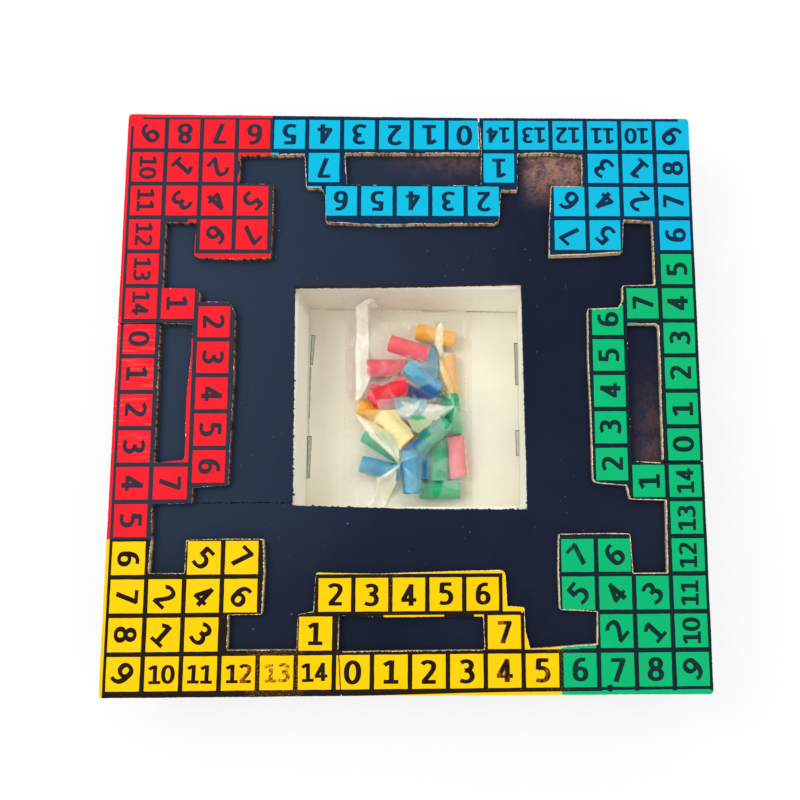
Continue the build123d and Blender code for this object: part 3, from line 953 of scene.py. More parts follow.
def numberInk():
    paint = Paint("numberInk")
    worn = paint.attribute("worn")
    fine = paint.speckle(520.0, detail=3.0, roughness=0.65)
    patch = paint.speckle(95.0, detail=1.0)
    x, y, _ = cellWires(paint)
    parts = quarters(x, y)
    colour = paint.mix(patch.ramp(0.3, 0.7, 0.0, 0.10), byQuarter(paint, parts, darkInk), tone(70, 70, 90))
    brown = paint.mix(parts[0], tone(30, 72, 70), tone(146, 84, 26))
    streak = paint.speckle(1.0, vector=paint.stretched(500, 130, 100))
    rubbed = streak * 0.6 + patch * 0.4 + (worn - 0.5) * 0.3
    colour = paint.mix(rubbed.ramp(0.46, 0.56, 0.0, 0.9) * worn.ramp(0.05, 0.3), colour, brown)
    bare = (fine * 0.75 + patch * 0.25 + (worn - 0.5) * 0.32) > 0.60
    return paint.shaded(Base_Color=colour, Roughness=0.5, Specular_IOR_Level=0.03,
                        Alpha=1 - bare * 0.85 * (worn > 0.05))


def makeNumbers(material):
    chance = random.Random(numbers["seed"])
    stamps = bpy.data.collections.new("digitStamps")
    for digit in range(10):
        stamps.objects.link(bpy.data.objects.new(f"digit{digit}", digitMesh(digit)))
    points, digits, turns, sizes, wear = [], [], [], [], []
    for side, along, deep, value, lean in numberPlaces():
        x, y = squareCentre(side, along, deep)
        turn = math.radians(90 * side + lean + chance.uniform(-numbers["lean"], numbers["lean"]))
        x += chance.uniform(*numbers["offX"])
        y += chance.uniform(*numbers["offY"])
        height = numbers["double" if value > 9 else "single"] * board["pitch"] * chance.uniform(*numbers["sizes"])
        if deep == 0 and side in (0, 2) and value < 10:
            height *= numbers["largerAcross"]
        text = str(value)
        for k, mark in enumerate(text):
            step = (k - (len(text) - 1) / 2) * numbers["advance"] * board["pitch"]
            points.append((x + step * math.cos(turn), y + step * math.sin(turn), board["trackTop"] - numbers["sunk"]))
            digits.append(int(mark))
            turns.append(turn)
            sizes.append(height)
            worn = rubbedInk.get((side, round(along * 2) / 2, deep), 0.0)
            # the first digit of this number is worn less than its second
            wear.append(worn * 0.45 if (side, along, k) == (0, 3, 0) else worn)
    mesh = meshFrom("numberPoints", points, [])
    kept = {"digit": digits, "turn": turns, "size": sizes, "worn": wear}
    for label, values in kept.items():
        kind = "INT" if label == "digit" else "FLOAT"
        mesh.attributes.new(label, kind, "POINT").data.foreach_set("value", values)
    obj = shaped("squareNumbers", addObject("numberPoints", mesh), squareNumbersTree(), {
        "Digits": stamps, "Ink Depth": numbers["inkDepth"], "Material": material})
    for stamp in list(stamps.objects):
        bpy.data.objects.remove(stamp)
    bpy.data.collections.remove(stamps)
    return dress(obj, material, "board")


makeNumbers(numberInk())
print("numbers are printed")


dust = {
    "grains": 90,
    "seed": 21,
    "spread": 0.14,
    "deck": 0.118,             # how far the bare deck reaches from the middle
    "well": (0.084, 0.081),    # and the well in it
    "small": (0.2 * mm, 0.42 * mm),
    "lift": (0.05 * mm, 0.08 * mm),
    "grain": (1.0, 0.6, 0.35, 1),
    # the larger grains: place, and size in mm
    "marked": [(-0.0415, -0.0885, 0.75), (0.118, -0.094, 0.6), (-0.103, -0.1575, 0.5), (-0.112, 0.062, 0.5),
               (0.136, -0.02, 0.45), (0.012, 0.103, 0.4), (-0.078, -0.148, 0.5), (-0.093, 0.118, 0.45)],
}


def dustTree():
    s = Shaper("deckDust", Grain="Object")
    grain = s.node("GeometryNodeObjectInfo", sockets={"Object": s.given("Grain")}, output="Geometry")
    index = s.node("GeometryNodeInputIndex")
    spin = s.node("FunctionNodeRandomValue", {"data_type": "FLOAT_VECTOR"}, {
        "Min": (0, 0, 0), "Max": (6.28, 6.28, 6.28), "ID": index, "Seed": 3})
    scattered = s.node("GeometryNodeInstanceOnPoints", sockets={
        "Points": s.given("Geometry"), "Instance": grain,
        "Rotation": s.node("FunctionNodeEulerToRotation", sockets={0: spin}), "Scale": s.named("size")})
    return s.end(scattered)


def openDeck(x, y):
    # true where the bare deck shows between the track and the well
    wellX, wellY = dust["well"]
    return max(abs(x), abs(y)) < dust["deck"] and not (abs(x) < wellX and abs(y) < wellY)


def dustMaterial():
    paint = Paint("paleDust")
    tint = paint.speckle(90.0, detail=1.0)
    colour = paint.mix(tint.ramp(0.4, 0.6), tone(206, 204, 190), tone(150, 140, 128))
    return paint.shaded(Base_Color=colour, Roughness=0.9, Specular_IOR_Level=0.1)


def makeDust(material):
    chance = random.Random(dust["seed"])
    points, sizes = [], []
    while len(points) < dust["grains"]:
        x, y = (chance.uniform(-dust["spread"], dust["spread"]) for _ in range(2))
        if openDeck(x, y):
            points.append((x, y, board["deckTop"] + dust["lift"][0]))
            sizes.append(chance.uniform(*dust["small"]) * chance.uniform(0.5, 1.0))
    for x, y, size in dust["marked"]:
        points.append((x, y, board["deckTop"] + dust["lift"][1]))
        sizes.append(size * mm)
    mesh = meshFrom("dustPoints", points, [])
    mesh.attributes.new("size", "FLOAT", "POINT").data.foreach_set("value", sizes)
    shape = bmesh.new()
    bmesh.ops.create_icosphere(shape, subdivisions=1, radius=1.0, matrix=Matrix.Diagonal(dust["grain"]))
    grain = addObject("grain", meshOf("grain", shape))
    obj = shaped("deckDust", addObject("dustPoints", mesh), dustTree(), {"Grain": grain, "Material": material})
    bpy.data.objects.remove(grain)
    return dress(obj, material, "board")


makeDust(dustMaterial())
print("dust has settled")


def caseMaterial(name, painted):
    paint = Paint(name)
    fine = paint.speckle(520.0, detail=3.0, roughness=0.65)
    cloud = paint.speckle(14.0, detail=3.0)
    fibres = paint.speckle(1.0, detail=3.0, vector=paint.stretched(60, 60, 500))
    z = paint.axes()[2]
    if painted:
        colour = paint.mix(cloud.ramp(0.35, 0.7), tone(24, 29, 44), tone(36, 44, 62))
        # rubbed through along the upper and lower edges
        edge = z.ramp(0.0075, 0.0030).most(z.ramp(0.0490, 0.0512))
        rubbed = (edge * 0.45 + fine) > 0.86
        colour = paint.mix(rubbed, colour, tone(120, 88, 60))
    else:
        colour = paint.mix(fibres.ramp(0.3, 0.7), tone(150, 108, 68), tone(188, 146, 98))
        colour = paint.mix(fine.ramp(0.5, 0.8, 0.0, 0.5), colour, tone(108, 74, 44))
        colour = paint.mix(cloud.ramp(0.4, 0.7, 0.0, 0.25), colour, tone(206, 170, 120))
    return paint.shaded(Base_Color=colour, Roughness=fine.ramp(0.3, 0.7, 0.5, 0.75), Specular_IOR_Level=0.12,
                        Normal=paint.bump(fine, 0.2, 0.0003))


def repaint(node, material):
    data = frame["nodes"][node].data
    data.materials.clear()
    data.materials.append(material)


paintedSide = caseMaterial("paintedSide", True)
for node in ("near_side_rail", "far_side_rail", "left_side_rail", "right_side_rail"):
    repaint(node, paintedSide)
repaint("bottom_panel", caseMaterial("rawBoard", False))
print("case is painted")


well = {
    "half": (0.0805, 0.0780), "floor": 0.0046, "roof": 0.0508, "base": 0.0032,
    "card": 1.3 * mm, "leafGap": 4.2 * mm, "fold": 1.6 * mm, "bow": 0.9 * mm,
    "ripple": 0.22 * mm, "foldRipple": 0.12 * mm, "lean": 0.3 * mm, "wallSteps": 40,
    "step": 4 * mm, "slotStep": 0.8 * mm, "tabDepth": 0.4 * mm, "tabInset": 0.5 * mm, "tabFoot": 0.1 * mm, "seed": 5,
    "rightEnd": 3.4 * mm, "farStart": 3.6 * mm,  # where these walls meet, from the corner
    "farEnd": (0.4 * mm, 0.5 * mm),              # at the foot and at the top
    # the slots that the tabs lock into, and the cracks between them: two ends and the width, in mm
    "slots": [(-76.5, 55.6, -77.6, 32.4, 3.0), (-77.8, -22.0, -78.4, -53.7, 3.2), (78.3, 49.4, 78.6, 16.5, 3.2),
              (78.3, -18.2, 78.4, -37.5, 3.0), (40.6, 74.6, 78.4, 74.2, 1.8)],
    "cracks": [(-78.2, 31.0, -78.5, -8.0, 1.2), (-78.5, -8.0, -78.5, -21.0, 0.6), (-66.5, 75.6, -42.9, 75.2, 0.6),
               (6.3, 74.6, 26.2, 73.9, 0.6)],
    "cut": {"rim": 0.12 * mm, "wander": 0.0, "burr": 0.32 * mm, "seed": 2.0, "ragged": 0.0},
}


def foldedWall(shape, footA, footB, topA, topB, away, chance):
    # one wall: up the inner leaf, over a soft fold and down the outer leaf
    footA, footB, topA, topB, away = (Vector((*v, 0)) for v in (footA, footB, topA, topB, away))
    floor, fold, gap = well["floor"] + well["lean"], well["fold"], well["leafGap"]
    brow = well["roof"] - fold
    profile = [("inner", t) for t in np.linspace(0, 1, 11)]
    profile += [("fold", t) for t in np.linspace(0.12, 1.0, 8)]
    profile += [("outer", t) for t in np.linspace(0.15, 1.0, 5)]
    phase = chance.uniform(0, 6)
    rows = []
    for s in (i / well["wallSteps"] for i in range(well["wallSteps"] + 1)):
        foot, top = footA.lerp(footB, s), topA.lerp(topB, s)
        row = []
        for part, t in profile:
            if part == "inner":
                swell = well["bow"] * math.sin(math.pi * s) * math.sin(math.pi * (0.15 + 0.8 * t))
                ripple = well["ripple"] * math.sin(5 * s + phase) * math.sin(math.pi * t)
                place = foot.lerp(top, t) + away * (swell + ripple)
                z = floor + (brow - floor) * t
            elif part == "fold":
                turn = math.pi * t
                place = top + away * (gap / 2) * (1 - math.cos(turn))
                z = brow + fold * math.sin(turn) + well["foldRipple"] * math.sin(9 * s + phase * 2)
            else:
                place = top + away * gap
                z = brow + (well["base"] - brow) * t
            row.append(shape.verts.new((place.x, place.y, z)))
        rows.append(row)
    for a, b in zip(rows, rows[1:]):
        for k in range(len(a) - 1):
            shape.faces.new((a[k], b[k], b[k + 1], a[k + 1]))


def cartonMaterial():
    paint = Paint("whiteCarton")
    cloud = paint.speckle(16.0, detail=3.0)
    fine = paint.speckle(900.0)
    fibres = paint.speckle(1.0, vector=paint.stretched(90, 700, 90))
    x, y, z = paint.axes()
    upright = z.ramp(0.006, 0.009)
    colour = paint.mix(cloud.ramp(0.3, 0.7), tone(243, 240, 219), tone(250, 247, 231))
    # painted light: the walls get a paler copy of the carton's colour than the floor
    colour = paint.mix(upright, colour, tone(255, 253, 241))
    # painted shade: the floor and the far wall are dimmer to the left
    paintedFloorShade = x.ramp(0.02, -0.078) * y.ramp(-0.07, 0.05, 0.0, 0.58)
    colour = paint.mix(paintedFloorShade * (1 - upright), colour, tone(228, 222, 206))
    colour = paint.mix(upright * y.ramp(0.064, 0.072) * x.ramp(0.02, -0.06) * 0.8, colour, tone(228, 218, 204))
    colour = paint.mix(fine.ramp(0.5, 0.75, 0.0, 0.10), colour, tone(196, 184, 160))
    colour = paint.mix(fibres.ramp(0.6, 0.8, 0.0, 0.08), colour, tone(210, 200, 180))
    # painted shade towards the folds at the foot, patchy, and in the slots: the tab painted grey as painted shade,
    # darker still below it
    foot = z.ramp(0.0075, 0.0046) * z.ramp(0.0040, 0.0046)
    colour = paint.mix(foot * cloud.ramp(0.3, 0.7, 0.05, 0.28), colour, tone(150, 136, 118))
    under = z.ramp(0.0045, 0.0044) * zone(x, y, -0.0802, 0.0802, -1, 0.0772)
    tab = paint.mix(fine.ramp(0.4, 0.65), tone(160, 166, 150), tone(192, 195, 176))
    tab = paint.mix(cloud.ramp(0.5, 0.75, 0.0, 0.5), tab, tone(224, 222, 200))
    colour = paint.mix(under, colour, paint.mix(z.ramp(0.00405, 0.00415), tone(56, 56, 48), tab))
    # a pinkish reflection of the bag on the far wall
    blush = y.ramp(0.066, 0.080) * x.ramp(-0.055, -0.02) * x.ramp(0.06, 0.0)
    colour = paint.mix(blush * 0.28, colour, tone(214, 186, 172))
    return paint.shaded(Base_Color=colour, Roughness=fine.ramp(0.3, 0.7, 0.55, 0.7), Specular_IOR_Level=0.2,
                        Normal=paint.bump(fine + cloud * 0.6, 0.15, 0.0002))


def makeWell(material):
    chance = random.Random(well["seed"])
    x, y = well["half"]
    # the base, die-cut with the same tree as the sawn sheets
    lines = [outline([(-x, -y, 0), (x, -y, 0), (x, y, 0), (-x, y, 0)], well["step"])]
    tabs = []
    for x0, y0, x1, y1, wide in well["slots"] + well["cracks"]:
        a, b = Vector((x0 * mm, y0 * mm)), Vector((x1 * mm, y1 * mm))
        way = (b - a).normalized()
        across = Vector((-way.y, way.x)) * wide * mm / 2 * chance.uniform(0.9, 1.05)
        hole = [a + across, b + across * 0.8, b - across * 0.8, a - across]
        lines.append(outline([(p.x, p.y, 0) for p in hole], well["slotStep"]))
        tabs.append((a, b, across))
    base = sawn("cartonBase", lines, well["cut"], well["floor"], well["base"], material)
    shape = bmesh.new()
    shape.from_mesh(base.data)
    bpy.data.objects.remove(base)
    walls = bmesh.new()
    h = well["lean"]
    footEnd, topEnd = well["farEnd"]
    # foot and top of each wall, and the way it faces outwards: left, right, far and near
    for wall in [((-x, y), (-x, -y), (-x - h, y), (-x - h, -y), (-1, 0)),
                 ((x, -y), (x, y - well["rightEnd"]), (x + h, -y), (x + h, y), (1, 0)),
                 ((x, y - well["farStart"]), (-x + footEnd, y), (x, y + h), (-x + topEnd, y + h), (0, 1)),
                 ((-x, -y), (x, -y), (-x, -y - h), (x, -y - h), (0, -1))]:
        foldedWall(walls, *wall, chance)
    wallObject = addObject("cartonWalls", meshOf("cartonWalls", walls))
    card = wallObject.modifiers.new("card", "SOLIDIFY")
    card.thickness = well["card"]
    card.offset = -1
    baked(wallObject)
    shape.from_mesh(wallObject.data)
    bpy.data.objects.remove(wallObject)
    # the tab in each slot, a little below the floor
    level = well["floor"] - well["tabDepth"]
    for a, b, across in tabs:
        way = (b - a).normalized() * well["tabInset"]
        ring = [a + way + across * 0.78, b - way + across * 0.58, b - way - across * 0.5, a + way - across * 0.7]
        upper = [shape.verts.new((p.x, p.y, level)) for p in ring]
        lower = [shape.verts.new((p.x, p.y, well["base"] + well["tabFoot"])) for p in ring]
        shape.faces.new(upper)
        shape.faces.new(list(reversed(lower)))
        for i in range(4):
            j = (i + 1) % 4
            shape.faces.new((upper[i], lower[i], lower[j], upper[j]))
    bmesh.ops.recalc_face_normals(shape, faces=shape.faces)
    return dress(addObject("cartonWell", meshOf("cartonWell", shape)), material, "board", "carton_well")


makeWell(cartonMaterial())
print("carton well is folded")


pegs = {
    "ease": 0.9 * mm,      # rounding of the ends
    "easeSteps": [0, 0.05, 0.15, 0.3, 0.5, 0.75, 1.0],
    "middleSteps": 7,
    "thinner": 0.02 * mm,
    "wobble": 0.05 * mm,   # unevenness of the turning
    "facets": 40,
    "seed": 3,
}
pegColours = {
    "yellow": (tone(244, 166, 14), tone(252, 190, 44), tone(214, 128, 14)),
    "red": (tone(232, 12, 42), tone(246, 34, 62), tone(176, 6, 26)),
    "blue": (tone(4, 128, 178), tone(14, 160, 202), tone(4, 82, 136)),
    "green": (tone(6, 158, 106), tone(20, 184, 130), tone(4, 108, 74)),
}


def turnedPegTree():
    s = Shaper("turnedPeg", ["Radius", "Ease", "Wobble", "Seed"], Facets="Int")
    along = s.node("GeometryNodeSplineParameter", output=1)
    total = s.node("GeometryNodeSplineLength", output=0)
    ease, radius = s.given("Ease"), s.given("Radius")
    inward = 1 - (along.least(total - along) / ease).least(1.0)
    drop = ease * (1 - (1 - inward * inward).math("SQRT"))
    uneven = s.speckle(130.0, detail=1.0, seed=s.given("Seed"))
    thick = radius - drop + (uneven - 0.6) * s.given("Wobble")
    line = s.keep(s.given("Geometry"), "grainLength", along + s.given("Seed"))
    circle = s.node("GeometryNodeCurvePrimitiveCircle", sockets={"Resolution": s.given("Facets"), "Radius": 1.0})
    circle = s.keep(circle, "grainRound", s.place, kind="FLOAT_VECTOR")
    body = s.node("GeometryNodeCurveToMesh", sockets={
        "Curve": line, "Profile Curve": circle, "Scale": thick, "Fill Caps": True})
    return s.end(s.node("GeometryNodeSetShadeSmooth", sockets={"Geometry": body, "Shade Smooth": True}))


def pegAxis(node):
    # both ends of a CAD peg's axis, and its radius
    points = np.array([v.co[:] for v in frame["nodes"][node].data.vertices])
    points = np.unique(points.round(7), axis=0)
    centre = (points.min(0) + points.max(0)) / 2
    spread = points - points.mean(0)
    axis = np.linalg.svd(spread, full_matrices=False)[2][0]
    reach = (points - centre) @ axis
    radius = np.linalg.norm((points - centre) - np.outer(reach, axis), axis=1).max()
    return Vector(centre + axis * reach.min()), Vector(centre + axis * reach.max()), float(radius)


def pegMaterial(name, base, light, dark):
    paint = Paint(name)
    along = paint.attribute("grainLength")
    around = paint.attribute("grainRound", output="Vector")
    # stained wood: fine dashes along the grain, and darker patches
    def grained(round, length, detail, roughness=0.5):
        place = paint.vector("ADD", paint.stretched(round, round, round, around), paint.upright(along * length))
        return paint.speckle(1.0, detail=detail, roughness=roughness, vector=place)

    grain, dash = grained(7, 90, 4.0, 0.6), grained(16, 160, 2.0)
    cloud = paint.speckle(120.0)
    colour = paint.mix(grain.ramp(0.35, 0.68), base, light)
    colour = paint.mix(dash.ramp(0.52, 0.75, 0.0, 0.3), colour, dark)
    colour = paint.mix(cloud.ramp(0.45, 0.75, 0.0, 0.4), colour, dark)
    return paint.shaded(Base_Color=colour, Roughness=grain.ramp(0.3, 0.7, 0.38, 0.55), Specular_IOR_Level=0.3,
                        Normal=paint.bump(grain + dash * 0.6, 0.2, 0.0003))


turnedPeg = turnedPegTree()
pegMaterials = {colour: pegMaterial(colour + "Stain", *shades) for colour, shades in pegColours.items()}
pegLines = []
for index in range(20):
    colour = list(pegColours)[index // 5]
    number = index % 5 + 1
    node = f"{colour}_peg_{number}"
    start, end, radius = pegAxis(node)
    pegLines.append((start, end, radius))
    length = (end - start).length
    ease, steps = pegs["ease"], pegs["middleSteps"]
    places = [t * ease for t in pegs["easeSteps"]] + [ease + (length - 2 * ease) * k / steps for k in range(1, steps)]
    places += [length - t * ease for t in reversed(pegs["easeSteps"])]
    curve = bpy.data.curves.new("pegLine", "CURVE")
    curve.dimensions = "3D"
    spline = curve.splines.new("POLY")
    spline.points.add(len(places) - 1)
    for target, t in zip(spline.points, places):
        target.co = (*start.lerp(end, t / length), 1)
    obj = shaped(f"{colour}Peg{number}", addObject("pegLine", curve), turnedPeg, {
        "Radius": radius - pegs["thinner"], "Ease": ease, "Wobble": pegs["wobble"], "Seed": pegs["seed"] + index * 1.7,
        "Facets": pegs["facets"], "Material": pegMaterials[colour]})
    dress(recalculated(obj), pegMaterials[colour], "bag", node)
print("twenty pegs are turned")


bag = {
    "left": -0.0520, "right": 0.0440, "near": -0.0771, "far": 0.0771,
    "floor": 0.0051, "columns": 160, "rows": 256, "coarse": 4, "clearance": 0.45 * mm, "relaxing": 420,
    "sag": 0.008 * mm,                        # how much the film settles at each step
    # heights over the floor of the film at its seams and where no peg lies, and of the upper film over the lower
    "loft": 0.2 * mm, "bareLoft": 0.3 * mm, "gap": 0.15 * mm, "lowerGap": 0.05 * mm,
    "clouding": (1 * mm, 4 * mm),             # heights over the floor between which the film turns cloudy
    "mouth": (0.0312, 0.0424), "lift": 0.058,  # heights of the mouth's two edges, and where the film starts to rise
    "hazeAndGlare": 0.26, "marginHaze": 0.07, "belowHaze": 0.04, "mostHaze": 0.97, "borrowed": 0.25, "clean": (250, 246, 232),
    "seamFade": 3.0,                          # mm over which the film clears towards its side seams
    # where the film is drawn together: place, reach of the pleats in mm and their height in mm
    "pinches": [(-41.9, -8.6, 15, 0.9), (31.4, -1.9, 15, 1.0), (-8.8, -45.0, 14, 0.9)],
    "pleats": 2.6, "pleatStart": 2.5, "creaseReach": 3.2, "wedges": 34, "fan": 0.42, "fanReach": 17,
    # small facets, each painted lighter or darker as painted light and shade: where they lie in mm, how many, how long
    # they are and how much they cloud the film
    "facetField": [(-52, 44), (-77, 77)], "facets": 130, "facetLength": 0.45, "facetLightAndShade": 0.09, "seed": 21,
    "glints": [(1.2, 5.0, 0.8), (-6.8, 0.2, 1.0), (-1.0, -2.1, 0.7), (5.8, -4.5, 0.8), (-3.3, -8.9, 1.0)],
    # creases: two ends and height, in mm
    "creases": [(-42.2, -7.7, -9.1, -45.0, 1.6), (-9.1, -45.0, -26.0, -58.4, 1.4), (-26.0, -58.4, -31.0, -76.0, 0.9),
                (-43.5, 60.0, -42.2, -7.7, 1.2), (31.6, -1.5, 20.0, 33.7, 1.2), (20.0, 33.7, 21.1, 60.2, 1.3),
                (-9.1, -45.0, 18.2, -17.0, 0.9), (18.2, -17.0, 31.6, -1.5, 0.8), (-42.2, -7.7, 6.0, -7.0, 0.7),
                (40.5, 60.0, 41.5, -70.0, 0.5), (-19.0, -62.0, -20.5, -76.0, 0.6)],
}
